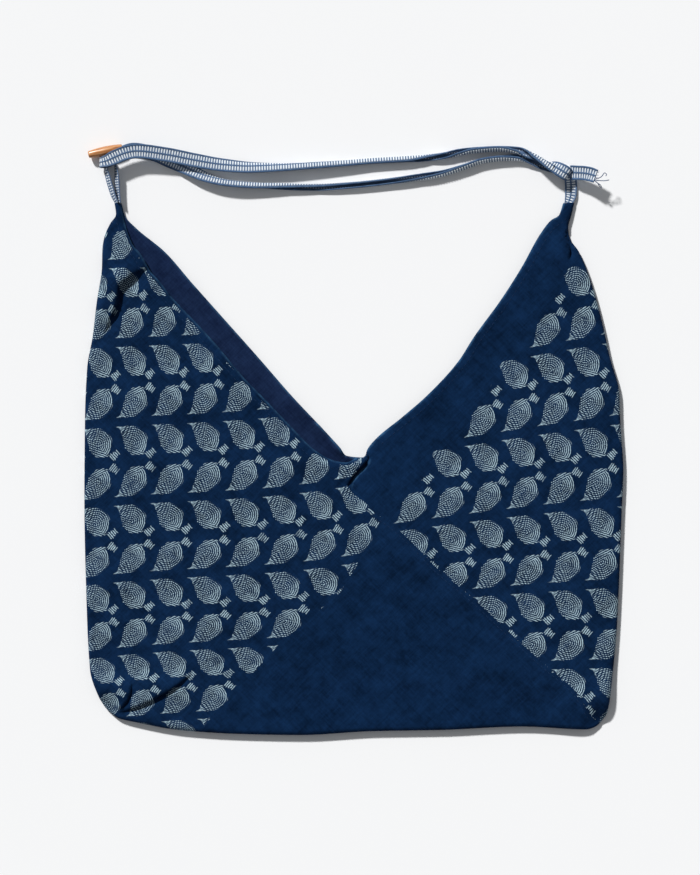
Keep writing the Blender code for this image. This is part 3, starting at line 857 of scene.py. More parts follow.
def leaf_print(add):
    """How much pale print there is at a place on the cloth, from 0 to 1."""
    place = add("UVMap", uv_map="print")
    shaken = add("TexNoise", {"Vector": place, "Scale": 0.45, "Detail": 2.0}, out="Color")
    shaken = add("VectorMath SUBTRACT", shaken, (0.5, 0.5, 0.5))
    shaken = add("VectorMath MULTIPLY_ADD", shaken, (SHAKE, SHAKE, 0.0), place)
    print_x, print_y, _ = add("SeparateXYZ", shaken, out=slice(3))

    # Mirrored rows: `up` runs from 0 where tips meet to half a row where stems meet.
    up = add("Math PINGPONG", add("Math SUBTRACT", print_y, ROW / 2), ROW / 2)
    slant = add("Math MULTIPLY_ADD", up, LEAF_LEAN, LEAF_GAP_FROM)
    x = add("Math SUBTRACT", add("Math ADD", print_x, PRINT_SHIFT), slant)
    x = add("Math ADD", add("Math WRAP", x, COLUMN / 2, -COLUMN / 2), slant)
    y = add("Math SUBTRACT", up, LEAF_HEIGHT + STEM[1])
    spot = add("CombineXYZ", add("Math SUBTRACT", x, STEM[0]), y)
    ink = add("Math MAXIMUM", leaf(add, spot), sprig(add, spot))

    # A hand print is uneven: the block carries more here than there, and skips on a slub.
    patchy = add("TexNoise", {"Vector": place, "Scale": 0.09, "Detail": 2.0})
    speck = add("TexNoise", {"Vector": place, "Scale": 1.1, "Detail": 1.0})
    ink = add("Math MULTIPLY", ink, add("MapRange", patchy, 0.1, 0.5, **SOFT))
    ink = add("Math MULTIPLY", ink, add("MapRange", speck, 0.22, 0.5, **SOFT))
    edge = add("Attribute", out="Fac", attribute_name="inside_print")
    return add("Math MULTIPLY", ink, add("MapRange", edge, 0.0, 0.6, **SOFT))


print("leaf lines", LINE_PITCH, "mm apart, dots", DOT_PITCH, "mm")

# %% [markdown]
# ## The dyed ground
# Indigo cotton is dull: its threads scatter the light, so the shader is rough with a little
# sheen, which is how fibres standing off the surface look at a low angle. The weave's real
# thread spacing is about half a millimetre, too fine to show, so it is drawn at 1.1 mm.

# %% Cotton
THREAD = 1.1          # mm
SLUBS = ((60.0, 620.0, 60.0), (620.0, 60.0, 60.0))     # stretches of a noise, one each way
GROUND = {"printed": ("#041831", "#0E2A4D"), "wrong side": ("#0E1B37", "#1C2D4E")}
# pale blue for the hems: rubbed dye, and a painted highlight along the hem's edge
WORN_AND_HIGHLIT_HEM = "#315678"
PRINT_WHITE = "#B2CDD8"
MIX = {"out": 2, "data_type": "RGBA"}                  # for a Mix node that mixes colours
DULL = {"Roughness": 0.88, "Specular IOR Level": 0.03, "Sheen Weight": 0.004,
        "Sheen Roughness": 0.7}


def look_of(name, numbers, draw, *details):
    """A material. `draw` adds its nodes and gives its colour, height, and bump's two sizes."""
    look = bpy.data.materials.new(name)
    look.use_nodes = True
    add, links = adder(look.node_tree), look.node_tree.links
    shader = look.node_tree.nodes["Principled BSDF"]
    colour, height, strength, distance = draw(add, *details)
    bump = add("Bump", {"Height": height, "Strength": strength, "Distance": distance})
    links.new(colour, shader.inputs["Base Color"])
    links.new(bump, shader.inputs["Normal"])
    for socket, value in numbers.items():
        shader.inputs[socket].default_value = value
    return look


def indigo_cotton(add, side):
    place = add("TexCoord", out="Object")
    turned = add("Mapping", {"Vector": place, "Rotation": (0, 0, np.pi / 4)})

    # Slubs run along both threads, on a ground that the dye took unevenly.
    slubs = [add("Mapping", {"Vector": turned, "Scale": stretch}) for stretch in SLUBS]
    slubs = [add("TexNoise", {"Vector": slub, "Scale": 1.0, "Detail": 3.0}) for slub in slubs]
    slub = add("Math ADD", *slubs)
    mottle = add("TexNoise", {"Vector": place, "Scale": 60.0, "Detail": 6.0, "Roughness": 0.7})
    dye = add("MapRange", add("Math MULTIPLY_ADD", mottle, 3.0, slub), 1.9, 3.1)
    dark, light = (linear(c) for c in GROUND[side])
    colour = add("Mix", {0: dye, 6: dark, 7: light}, **MIX)

    # Hems are paler, in patches: partly rubbed dye, partly a painted highlight along the hem's
    # edge.
    hem = add("Attribute", out="Fac", attribute_name="from_hem")
    hem_wear_and_highlight = add("MapRange", hem, 2.4, 0.3, **SOFT)
    patches = add("TexNoise", {"Vector": place, "Scale": 130.0, "Detail": 3.0})
    hem_wear_and_highlight = add("Math MULTIPLY", hem_wear_and_highlight, add("MapRange", patches, 0.3, 0.7))
    colour = add("Mix", {0: hem_wear_and_highlight, 6: colour, 7: linear(WORN_AND_HIGHLIT_HEM)}, **MIX)
    if side == "printed":
        colour = add("Mix", {0: leaf_print(add), 6: colour, 7: linear(PRINT_WHITE)}, **MIX)

    # Threads over and under, as a small bump with the slubs on top.
    threads = add("VectorMath MULTIPLY", turned, (2 * np.pi / (THREAD * MM),) * 3)
    one_way, other_way, _ = add("SeparateXYZ", add("VectorMath SINE", threads), out=slice(3))
    weave = add("Math MULTIPLY", one_way, other_way)
    return colour, add("Math MULTIPLY_ADD", weave, 0.35, slub), 0.55, 0.0004


printed_cotton = look_of("leaf printed indigo cotton", DULL, indigo_cotton, "printed")
wrong_side = look_of("wrong side of indigo cotton", DULL, indigo_cotton, "wrong side")
print("threads drawn", THREAD, "mm apart")

# %% [markdown]
# ## Giving the cloth its thickness
# Solidify thickens the sheet evenly to both sides and closes its edges. Its inner side takes the
# second material, because the wrong side of the cloth shows in the band along the mouth. The
# modifier is then turned into plain mesh, so the finished piece has nothing live on it.


def made_plain(thing):
    """Turns an object's modifiers into plain mesh."""
    graph = bpy.context.evaluated_depsgraph_get()
    mesh = bpy.data.meshes.new_from_object(thing.evaluated_get(graph))
    thing.modifiers.clear()
    thing.data = mesh
    mesh.name = thing.name
    mesh.calc_loop_triangles()
    print(thing.name, len(mesh.loop_triangles), "triangles")
    return thing


def placed(thing, slot, *nodes):
    """The finished piece rides on the bag's body and stands for these solids."""
    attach(thing, BODY)
    if nodes:
        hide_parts(*nodes)


mesh.materials.append(printed_cotton)
mesh.materials.append(wrong_side)
mesh.shade_smooth()
thickness = bag.modifiers.new("thickness", "SOLIDIFY")
thickness.thickness = CLOTH * MM
thickness.offset = 0.0
thickness.material_offset = 1
made_plain(bag)
placed(bag, "printed_cloth", *[n for n in frame["nodes"] if n.endswith(("_front", "_back"))])

# %% [markdown]
# ## The tape
# The strap, its loop and its ties are one narrow tape, woven like a ladder: indigo warp threads
# make its two edges and a line down its middle, and white weft lies over them in two columns of
# small blocks. The warp is a ribbon with a thin cross-section drawn below. It follows a route
# whose rows give a place, how far the tape leans up on edge, and its width. A lean of 90 degrees
# stands it on edge, and past 90 its upper face turns to the light. Along its two runs the tape
# has curled lengthwise into a gutter, by the angle in the last column. With that column, the
# height is of the section's lowest point, so the gutter lies on the table however it turns.

# %% Routes
TAPE_WIDTH = FULL = 13.4
STRAP_ROUTE = (  # x, y, lowest point, lean, width, curl: the lower run, the bight, the upper run
    (189, 250.6, 1, 60, FULL, 250), (176, 254.6, 0.4, 40, FULL, 250),
    (165, 259.4, 0.4, 0, FULL, 250), (152, 262, 0.4, -60, FULL, 250),
    (138, 261.6, 0.4, -84, FULL, 240), (120.6, 259.3, 0.4, -88, FULL, 240),
    (102.4, 253.4, 0.4, -84, FULL, 240), (80, 246.6, 0.4, -66, FULL, 250),
    (58, 243.1, 0.4, -34, FULL, 270), (31.8, 239.8, 0.4, 0, FULL, 290),
    (-3.6, 236.4, 0.4, 16, FULL, 290), (-33, 234.8, 0.4, 40, FULL, 280),
    (-60, 235.3, 0.4, 70, FULL, 260), (-88, 235.9, 0.4, 98, FULL, 220),
    (-104, 237.1, 0.4, 110, FULL, 180), (-122, 239.8, 0.4, 124, FULL, 130),
    (-140, 245.1, 0.4, 142, FULL, 70), (-158, 253.4, 0.3, 164, FULL, 20),
    (-172, 259.5, 0.3, 176, FULL, 0), (-186, 265.6, 0.3, 180, FULL, 0),
    (-205, 269.4, 0.3, 180, FULL, 0), (-222, 263.6, 0.3, 180, 11.5, 0),
    (-230.6, 257.6, 0.3, 180, 9.6, 0), (-234.5, 257, 2.2, 180, 9.4, 0),
    (-236.2, 257, 6.4, 180, 9.4, 0), (-234.5, 257.2, 10.6, 180, 9.6, 0),
    (-230.6, 258, 12.2, 180, 10.6, 0), (-222, 261.6, 12.6, 180, FULL, 0),
    (-212, 265.6, 12.6, 180, FULL, 0), (-201.7, 267.4, 12.2, 180, FULL, 0),
    (-173.8, 264.2, 9.8, 178, FULL, 0), (-148.7, 259.3, 7.2, 172, FULL, -16),
    (-121.7, 255, 4.2, 160, FULL, -40), (-95.6, 253.2, 1.8, 146, FULL, -80),
    (-68.7, 253.7, 0.6, 132, FULL, -130), (-41.7, 254.9, 0.4, 118, FULL, -180),
    (-8.2, 256.7, 0.4, 100, FULL, -230), (17.8, 258.8, 0.4, 94, FULL, -255),
    (49.4, 260.6, 0.4, 88, FULL, -265), (70, 262.4, 0.4, 40, FULL, -280),
    (84.8, 264, 0.4, 0, FULL, -280), (98, 266.6, 0.4, -50, FULL, -260),
    (111.7, 268.9, 0.4, -78, FULL, -250), (135, 270.3, 1, -84, FULL, -250),
    (152, 268.4, 2.4, -50, FULL, -260), (160, 266, 4.4, 10, FULL, -250),
    (168, 262.4, 5.4, 80, FULL, -210), (178, 256.6, 6, 118, FULL, -140),
    (186, 252.6, 7.4, 146, FULL, -70),
)
LEFT_LOOP_ROUTE = (      # x, y, height of its middle, lean, width
    (-220.4, 219.4, 4.8, 70, 8.5), (-223.6, 226, 4.9, 60, 8.5), (-226, 233.5, 5.1, 56, 8.5),
    (-228.6, 242.5, 5.5, 56, 8.5), (-230.2, 251, 6, 74, 8.5), (-229.8, 258, 6.1, 90, 8.5),
    (-226.4, 261.6, 6.1, 90, 8.5), (-223, 258.4, 6.1, 90, 8.5), (-221.4, 252, 6, 74, 8.5),
    (-220.6, 243, 5.5, 60, 8.5), (-220.2, 234, 5.1, 58, 8.5), (-219.4, 226, 4.9, 64, 8.5),
    (-218.4, 219.4, 4.8, 70, 8.5),
)
RIGHT_TAPE_ROUTE = (
    (196.4, 208, 3.7, 0, 5), (198.2, 214, 3.7, 0, 6.2), (199.4, 219, 3.7, 0, 7),
    (200.6, 222, 3.1, 0, 8.8), (202.2, 228, 2.2, 0, 11), (202.4, 236, 1.8, 0, 11.4),
    (201.9, 240.5, 4.2, 0, 11.4), (201.2, 244.4, 6.4, 0, 11), (200.6, 248, 4.6, 0, 10.6),
)
TAIL_ROUTE = (
    (201.9, 248, 5.6, 8, FULL), (203.4, 247.8, 8.8, 8, FULL), (206.6, 247.4, 10.9, 8, FULL),
    (212, 247, 13, 8, FULL), (218, 245.9, 15.6, 4, FULL), (224.4, 243.6, 18.2, -4, 12.6),
)
KNOT_OVER = (            # the end of the strap, turned flat across the knot
    (181.5, 255.4, 9.6, 124, FULL), (186, 253.2, 11.4, 148, FULL), (191, 250.4, 12.8, 168, FULL),
    (195.6, 247.7, 13, 178, FULL), (198.8, 245.7, 11.6, 184, 12.6), (200.4, 244.8, 7, 188, 11),
)
KNOT_CORE = tuple(   # a turn of tape on edge inside it
    (196.2 + 6.4 * np.cos(a), 247.6 + 4.6 * np.sin(a), 5.4, 90, 8.6)
    for a in np.radians(np.arange(-150, 175, 25))
)
print("strap", round(run_along(np.array(STRAP_ROUTE)[:, :3])[-1]), "mm along its route")

# %% [markdown]
# ## A ribbon along a route
# Blender could sweep a curve, but a swept ribbon turns as the curve does, and this one has to
# lean and curl by a table. So its cross-section is laid one by one at each step of the route, with
# the directions across the tape and out of its face worked out there.

# %% A ribbon with its cross-section
TAPE_PROFILE = (  # share of half the width, half the thickness
    (-1.0, 0.2), (-0.97, 0.5), (-0.88, 0.6), (-0.79, 0.5), (-0.76, 0.25), (-0.42, 0.25),
    (-0.1, 0.25), (-0.07, 0.42), (0.07, 0.42), (0.1, 0.25), (0.42, 0.25), (0.76, 0.25),
    (0.79, 0.5), (0.88, 0.6), (0.97, 0.5), (1.0, 0.2),
)
BLOCK_PITCH = 2.5
ROWS_PER_BLOCK = 2
COLUMN = 0.42         # share of half the width from the middle to a column's own middle


def section(across, face, half, curl, share, thick):
    """Where a point of the tape's section lies, and the directions of the tape there."""
    turn = curl * share / 2
    bent = np.where(np.abs(curl) < 1e-3, 1e-3, curl)
    radius = 2 * half / bent
    sideways = across * np.cos(turn) - face * np.sin(turn)
    outward = face * np.cos(turn) + across * np.sin(turn)
    middle = (1 - np.cos(bent / 2)) / 2
    place = across * radius * np.sin(bent * share / 2)
    place = place - face * radius * (1 - np.cos(bent * share / 2) - middle)
    return place + outward * thick, sideways, outward

# %% The ribbon
def ribbon(route, flat_way):
    """Points, faces and map of a ribbon, and the places of its blocks with their directions."""
    rows = np.array(route, float)
    run = run_along(rows[:, :3])
    steps = ROWS_PER_BLOCK * round(run[-1] / BLOCK_PITCH)
    at = np.linspace(0, run[-1], steps + 1)
    rows = np.column_stack([smooth(tuple(zip(run, column)), at) for column in rows.T])
    centre, lean, half = rows[:, :3], np.radians(rows[:, 3]), rows[:, 4:5] / 2
    curl = np.radians(rows[:, 5:6]) if rows.shape[1] > 5 else np.zeros((len(rows), 1))
    along = np.gradient(centre, axis=0)
    along /= np.linalg.norm(along, axis=1)[:, None]
    across = np.column_stack((np.outer(np.cos(lean), flat_way), np.sin(lean)))
    across -= along * (along * across).sum(1)[:, None]
    across /= np.linalg.norm(across, axis=1)[:, None]
    face = np.cross(along, across)
    ring = [(share, thick) for share, thick in TAPE_PROFILE]
    ring += [(share, -thick) for share, thick in reversed(TAPE_PROFILE)]
    places = np.stack([section(across, face, half, curl, *spot)[0] for spot in ring], 1)
    if rows.shape[1] > 5:
        centre = centre - places[:, :, 2].min(1)[:, None] * (0, 0, 1)
    points = centre[:, None] + places
    around, last = len(ring), (len(rows) - 1) * len(ring)
    faces = [(i + j, i + around + j, i + around + (j + 1) % around, i + (j + 1) % around)
             for i in range(0, last, around) for j in range(around)]
    for j in range(len(TAPE_PROFILE) - 1):
        far = around - 1 - j
        faces.append((j, j + 1, far - 1, far))
        faces.append((last + j, last + far, last + far - 1, last + j + 1))
    spread = np.array([share for share, _ in ring])
    tape_map = np.stack(np.broadcast_arrays(at[:, None], half * spread), -1).reshape(-1, 2)
    blocks = []
    for side in (-COLUMN, COLUMN):
        place, sideways, outward = section(across, face, half, curl, side, 0.0)
        blocks.append(np.column_stack((centre + place, sideways, outward, half))[1::ROWS_PER_BLOCK])
    return points.reshape(-1, 3), faces, tape_map, np.vstack(blocks)


print("a block every", BLOCK_PITCH, "mm")

# %% [markdown]
# ## The white blocks, with Geometry Nodes
# The blocks are what repeats, so a node tree lays them. The ribbon's mesh carries one loose
# point for each block, with the directions of the tape there as attributes. The tree takes
# those points apart from the ribbon, puts a small rounded block on each, turned to lie flat on
# the tape, and joins all of it again. Its inputs have names, and each is set by its socket's
# identifier before the tree runs for the first time.

# %% A tree with named inputs
KINDS = {float: "NodeSocketFloat", int: "NodeSocketInt", bpy.types.Material: "NodeSocketMaterial"}
LEVELS = 1            # of smoothing, which leaves a block 24 faces
CREASE = 0.62


def new_tree(name, inputs):
    """A geometry tree with these named inputs, its function to add nodes, and its inputs."""
    tree = bpy.data.node_groups.new(name, "GeometryNodeTree")
    for way in ("INPUT", "OUTPUT"):
        tree.interface.new_socket("Geometry", in_out=way, socket_type="NodeSocketGeometry")
    for label, value in inputs.items():
        kind = next(socket for made, socket in KINDS.items() if isinstance(value, made))
        tree.interface.new_socket(label, in_out="INPUT", socket_type=kind)
    return tree, adder(tree), tree.nodes.new("NodeGroupInput").outputs


def run_tree(thing, tree, result, inputs):
    """Links the tree's result to its output and runs it on an object with these inputs."""
    tree.links.new(result, tree.nodes.new("NodeGroupOutput").inputs[0])
    modifier = thing.modifiers.new(tree.name, "NODES")
    modifier.node_group = tree
    for item in tree.interface.items_tree:
        if item.in_out == "INPUT" and item.name in inputs:
            modifier[item.identifier] = inputs[item.name]
    return made_plain(thing)

# %% The tree that lays blocks
def block_tree(inputs):
    """Lays a rounded block on each loose point of a mesh."""
    tree, add, given = new_tree("laid blocks", inputs)
    is_block, white = (add("InputNamedAttribute", {"Name": name}, data_type="BOOLEAN")
                       for name in ("is_block", "white"))
    across, face = (add("InputNamedAttribute", {"Name": name}, data_type="FLOAT_VECTOR")
                    for name in ("across", "face"))
    half = add("InputNamedAttribute", {"Name": "half_width"}, data_type="FLOAT")
    spots, ribbons = add("SeparateGeometry", {"Geometry": given["Geometry"],
                                              "Selection": is_block}, out=slice(2))
    shape = add("MeshCube", {"Size": (1, 1, 1)})
    shape = add("SubdivisionSurface", {"Mesh": shape, "Level": LEVELS, "Edge Crease": CREASE})
    shape = add("StoreNamedAttribute", {
        "Geometry": shape, "Name": "in_block", "Value": add("InputPosition"),
    }, data_type="FLOAT_VECTOR", domain="POINT")
    shape = add("StoreNamedAttribute", {"Geometry": shape, "Name": "white", "Value": True},
                data_type="BOOLEAN", domain="FACE")
    turned = add("FunctionNodeAxesToRotation", face, across, primary_axis="Z",
                 secondary_axis="Y")
    uneven = add("FunctionNodeRandomValue", {"Min": 0.9, "Max": 1.08, "Seed": given["Seed"]},
                 out="Value", data_type="FLOAT")
    long = add("ShaderNodeMath MULTIPLY", given["Length"], uneven)
    wide = add("ShaderNodeMath MULTIPLY", given["Width"], half)
    size = add("ShaderNodeCombineXYZ", long, wide, given["Thickness"])
    laid = add("InstanceOnPoints", {"Points": spots, "Instance": shape, "Rotation": turned,
                                    "Scale": size})
    real = add("RealizeInstances", add("JoinGeometry", [ribbons, laid]))
    return tree, add("SetMaterial", {"Geometry": real, "Selection": white,
                                     "Material": given["Material"]})


print("a piece's tree has inputs of", len(KINDS), "kinds")

# %% [markdown]
# ## The tape's two cottons
# Both are mercerised cotton yarn, smoother than the bag's cloth. The warp shows as fine cords
# along the tape, 0.55 mm apart, and each white block is a few weft threads side by side.

# %% Tape materials
WARP_PITCH = 0.55
PICK_PITCH = 1.25     # from one turn of a warp thread over the weft to its next
# the warp's tone in shade and where lit: the cords' crowns are painted in the lit tone, their
# grooves in the shaded one
WARP = ("#2B4365", "#5A7799")
BETWEEN_BLOCKS = "#5F7390"
WEFT = ("#B9C9D8", "#F0F4F6")


def warp_cotton(add):
    place = add("UVMap", uv_map="tape")
    cords = (2 * np.pi / PICK_PITCH, 2 * np.pi / WARP_PITCH, 0)
    cords = add("VectorMath SINE", add("VectorMath MULTIPLY", place, cords))
    along, across, _ = add("SeparateXYZ", cords, out=slice(3))
    height = add("Math MULTIPLY_ADD", along, 0.4, across)
    uneven = add("Mapping", {"Vector": place, "Scale": (0.25, 1.6, 1.0)})
    uneven = add("TexNoise", {"Vector": uneven, "Scale": 1.0, "Detail": 3.0})
    # Painted light and shade: the colour follows the cords' height, crowns lighter and grooves
    # darker, with uneven dye on top.
    shade = add("MapRange", add("Math MULTIPLY_ADD", height, 0.12, uneven), 0.25, 0.75)
    colour = add("Mix", {0: shade, 6: linear(WARP[0]), 7: linear(WARP[1])}, **MIX)

    # Between the blocks the white weft goes under thinner warp, which makes a greyer blue.
    _, from_middle, _ = add("SeparateXYZ", place, out=slice(3))
    away = add("Math SUBTRACT", add("Math ABSOLUTE", from_middle), TAPE_WIDTH / 2 * COLUMN)
    ladder = add("MapRange", add("Math ABSOLUTE", away), 2.4, 2.0)
    colour = add("Mix", {0: ladder, 6: colour, 7: linear(BETWEEN_BLOCKS)}, **MIX)
    return colour, height, 0.5, 0.0002


def weft_cotton(add):
    place = add("Attribute", out="Vector", attribute_name="in_block")
    threads = add("VectorMath MULTIPLY", place, (2 * np.pi * 3.0, 0.0, 0.0))
    threads = add("SeparateXYZ", add("VectorMath COSINE", threads))
    uneven = add("TexNoise", {"Vector": add("TexCoord", out="Object"), "Scale": 900.0,
                              "Detail": 2.0})
    # Painted shade: the colour follows the threads' height, darker between threads, with an uneven
    # white on top.
    shade = add("MapRange", add("Math MULTIPLY_ADD", threads, 0.2, uneven), 0.2, 0.6)
    colour = add("Mix", {0: shade, 6: linear(WEFT[0]), 7: linear(WEFT[1])}, **MIX)
    return colour, threads, 0.4, 0.0002


warp = look_of("indigo warp", {"Roughness": 0.7, "Specular IOR Level": 0.2}, warp_cotton)
weft = look_of("white weft", {"Roughness": 0.6, "Specular IOR Level": 0.25}, weft_cotton)
print("warp threads", WARP_PITCH, "mm apart")

# %% [markdown]
# ## The five pieces of tape
# The strap, the loop that holds the toggle, the doubled tie in the right horn, the knot and the
# cut end are made alike, from their routes. The knot is bound from two turns of tape, one flat
# over one on edge.

# %% Strap, loop, tie, tail and knot
BLOCKS = {"Length": 1.4 * MM, "Width": 0.68 * MM, "Thickness": 0.95 * MM, "Seed": 7,
          "Material": weft}


def laid_piece(name, spots, faces, spot_map, blocks, look, settings):
    """Runs the block tree on some faces and a table of block places and directions."""
    count = len(spots)
    mesh = bpy.data.meshes.new(name)
    everything = np.vstack((spots, blocks[:, :3]))
    mesh.from_pydata([tuple(p) for p in everything * MM], [], faces)
    is_block = np.arange(len(everything)) >= count
    mesh.attributes.new("is_block", "BOOLEAN", "POINT").data.foreach_set("value", is_block)
    for label, first, wide in (("across", 3, 3), ("face", 6, 3), ("half_width", 9, 1)):
        values = np.vstack((np.zeros((count, wide)), blocks[:, first:first + wide]))
        kind, field = ("FLOAT", "value") if wide == 1 else ("FLOAT_VECTOR", "vector")
        made = mesh.attributes.new(label, kind, "POINT")
        made.data.foreach_set(field, values.astype(np.float32).ravel())
    if faces:
        corner = np.empty(len(mesh.loops), np.int32)
        mesh.loops.foreach_get("vertex_index", corner)
        mesh.uv_layers.new(name="tape").data.foreach_set("uv", spot_map[corner].ravel())
        mesh.materials.append(look)
        mesh.shade_smooth()
    return run_tree(object_of(name, mesh), *block_tree(settings), settings)


def tape_piece(name, *routes):
    """One piece made of ribbons, each with its route and the way it lies flat."""
    parts = [ribbon(*route) for route in routes]
    starts = np.cumsum([0] + [len(part[0]) for part in parts])
    faces = [tuple(start + i for i in face) for start, part in zip(starts, parts)
             for face in part[1]]
    spots, spot_map, blocks = (np.vstack([part[k] for part in parts]) for k in (0, 2, 3))
    return laid_piece(name, spots, faces, spot_map, blocks, warp, BLOCKS)


UPRIGHT, LEVEL, SLANTED = (0, 1), (1, 0), (0.53, 0.85)
placed(tape_piece("tape_strap", (STRAP_ROUTE, UPRIGHT)), "tape", "strap")
placed(tape_piece("tape_left_loop", (LEFT_LOOP_ROUTE, LEVEL)), "tape", "left_horn_loop")
placed(tape_piece("tape_right_tie", (RIGHT_TAPE_ROUTE, LEVEL)), "tape", "right_horn_tape")
placed(tape_piece("tape_knot", (KNOT_OVER, SLANTED), (KNOT_CORE, UPRIGHT)), "tape", "strap_knot")
placed(tape_piece("tape_tail", (TAIL_ROUTE, UPRIGHT)), "tape", "strap_tail")

# %% [markdown]
# ## Loose threads at the strap's cut end
# Past the knot the tape is simply cut, so its threads have come loose. Four long ones are drawn
# as lines of points. A second tree turns them into round threads, and on each point of
# the cut edge it puts a short bent fibre with its own turn and length.

# %% Frays
CUT = ((225.4, 250.0), (224.6, 237.6))     # the cut edge, from end to end
CUT_HEIGHT = 18.3
FIBRE_RADIUS = 0.05
FIBRE = ((0, 0, 0), (1.6, 0, 0.7), (2.4, 0.5, -0.3))      # a bent fibre, drawn by three points
LONG_THREADS = (                            # x, y, z
    ((223, 242, 18), (226.5, 241.8, 18.9), (229.5, 243.2, 19.6), (232.4, 246.6, 19.8),
     (234.2, 245.2, 19.6), (233.4, 243.6, 19.4)),
    ((223, 240.6, 17.8), (227, 239.6, 18.6), (231.8, 239.4, 18.2), (236.6, 240.2, 17.6)),
    ((223, 239.6, 17.8), (225.8, 237.4, 18.2), (227.2, 235.4, 17.2), (228.9, 233.4, 15.4)),
    ((223, 240, 17.8), (226.6, 236.8, 17.6), (228.8, 235.6, 16.6), (230.2, 232.6, 14.6)),
)


print(len(LONG_THREADS), "long threads")

# %% A tree for loose threads
def fray_tree(inputs):
    """Makes round threads of a mesh's edges, and lays a bent fibre on each of its roots."""
    tree, add, given = new_tree("loose threads", inputs)
    is_root = add("InputNamedAttribute", {"Name": "is_root"}, data_type="BOOLEAN")
    roots, lines = add("SeparateGeometry", {"Geometry": given["Geometry"],
                                            "Selection": is_root}, out=slice(2))
    thick = add("CurvePrimitiveCircle", {"Resolution": 8, "Radius": given["Radius"]})
    threads = add("CurveToMesh", {"Curve": add("MeshToCurve", {"Mesh": lines}),
                                  "Profile Curve": thick, "Fill Caps": True})
    thin = add("CurvePrimitiveCircle", {"Resolution": 5, "Radius": FIBRE_RADIUS * MM})
    start, middle, end = (tuple(v * MM for v in spot) for spot in FIBRE)
    fibre = add("CurveQuadraticBezier", {"Resolution": 6, "Start": start, "Middle": middle,
                                         "End": end})
    fibre = add("CurveToMesh", {"Curve": fibre, "Profile Curve": thin, "Fill Caps": True})
    turn = add("FunctionNodeRandomValue", {
        "Min": (-1.2, -0.4, -0.9), "Max": (1.2, 0.5, 0.6), "Seed": given["Seed"],
    }, data_type="FLOAT_VECTOR")
    length = add("FunctionNodeRandomValue", {"Min": 0.4, "Max": 1.5, "Seed": given["Seed"]},
                 out="Value", data_type="FLOAT")
    laid = add("InstanceOnPoints", {
        "Points": roots, "Instance": fibre, "Scale": length,
        "Rotation": add("FunctionNodeEulerToRotation", turn),
    })
    real = add("RealizeInstances", add("JoinGeometry", [threads, laid]))
    return tree, add("SetMaterial", {"Geometry": real, "Material": given["Material"]})

# %% The frayed end
def frayed_end():
    lines = [rounded(line, 1.0) for line in LONG_THREADS]
    starts = np.cumsum([0] + [len(line) for line in lines])
    edges = [(start + i, start + i + 1) for start, line in zip(starts, lines)
             for i in range(len(line) - 1)]
    cut = np.linspace(*CUT, 26)
    roots = np.column_stack((cut - (0.8, 0.0), np.full(len(cut), CUT_HEIGHT)))
    spots = np.vstack((*lines, roots))
    mesh = bpy.data.meshes.new("tape_frays")
    mesh.from_pydata([tuple(p) for p in spots * MM], edges, [])
    mesh.attributes.new("is_root", "BOOLEAN", "POINT").data.foreach_set(
        "value", np.arange(len(spots)) >= starts[-1])
    settings = {"Radius": 0.38 * MM, "Seed": 11, "Material": loose_thread}
    return run_tree(object_of("tape_frays", mesh), *fray_tree(settings), settings)


def plied_thread(add, dark, light, scale):
    """Cotton thread, with its twist as a slanted bump and as painted shade in its grooves."""
    place = add("TexCoord", out="Object")
    twist = add("TexWave", {"Vector": place, "Scale": scale, "Distortion": 2.0}, out="Fac",
                bands_direction="DIAGONAL")
    uneven = add("TexNoise", {"Vector": place, "Scale": 400.0, "Detail": 2.0})
    # Painted shade: the colour is darker in the twist's grooves, where the bump is low, and in
    # random patches.
    shade = add("MapRange", add("Math MULTIPLY", twist, uneven), 0.1, 0.5)
    colour = add("Mix", {0: shade, 6: linear(dark), 7: linear(light)}, **MIX)
    return colour, twist, 0.4, 0.0001


THREAD_FINISH = {"Roughness": 0.75, "Specular IOR Level": 0.15}
loose_thread = look_of("loose warp thread", THREAD_FINISH, plied_thread, "#1E3355", "#3F5F88",
                       1400.0)
placed(frayed_end(), "tape")

# %% [markdown]
# ## Hand stitches
# The hems along the mouth and the lapped seam are sewn by hand with indigo thread, so they
# barely show: small running stitches half sunk into the cloth. The same tree that lays the
# tape's blocks lays them, one to each place along a line drawn beside the edge.

# %% Stitches
STITCH_PITCH = 4.6
sewing_thread = look_of("indigo sewing thread", THREAD_FINISH, plied_thread, "#0E2240", "#1F3A60",
                        900.0)
STITCHES = {"Length": 2.7 * MM, "Width": 0.42 * MM, "Thickness": 0.4 * MM, "Seed": 3,
            "Material": sewing_thread}
STITCH_LINES = (   # the edge, how far to its right hand, and how much of each end to skip
    (LEFT_MOUTH_FRONT, -7.0, 16.0), (RIGHT_MOUTH[2:], 7.0, 14.0), (SEAM, -3.0, 12.0),
)


def stitch_places():
    """Place, way across, way up and width of every stitch, as rows of a table."""
    table = []
    for line, shift, skip in STITCH_LINES:
        line = evenly(parallel(rounded(line, 3.0), shift), STITCH_PITCH)
        line = line[int(skip / STITCH_PITCH):-int(skip / STITCH_PITCH)]
        x, y = line.T
        slope_x = front_height(x + 0.5, y) - front_height(x - 0.5, y)
        slope_y = front_height(x, y + 0.5) - front_height(x, y - 0.5)
        up = np.column_stack((-slope_x, -slope_y, np.ones(len(x))))
        up /= np.linalg.norm(up, axis=1)[:, None]
        along = np.gradient(np.column_stack((line, front_height(x, y))), axis=0)
        across = np.cross(up, along)
        across /= np.linalg.norm(across, axis=1)[:, None]
        lift = front_height(x, y) + CLOTH / 2 + HEM_RISE * (abs(shift) > 4)
        table.append(np.column_stack((x, y, lift, across, up, np.ones(len(x)))))
    return np.vstack(table)


none = np.zeros((0, 3))
stitches = laid_piece("hem_stitches", none, [], none, stitch_places(), None, STITCHES)
placed(stitches, "printed_cloth")

# %% [markdown]
# ## The wooden toggle
# The toggle is a small turned spindle, oiled and handled smooth. Its grain runs along it, so the
# rings of a wood texture are stretched along the spindle's own line.

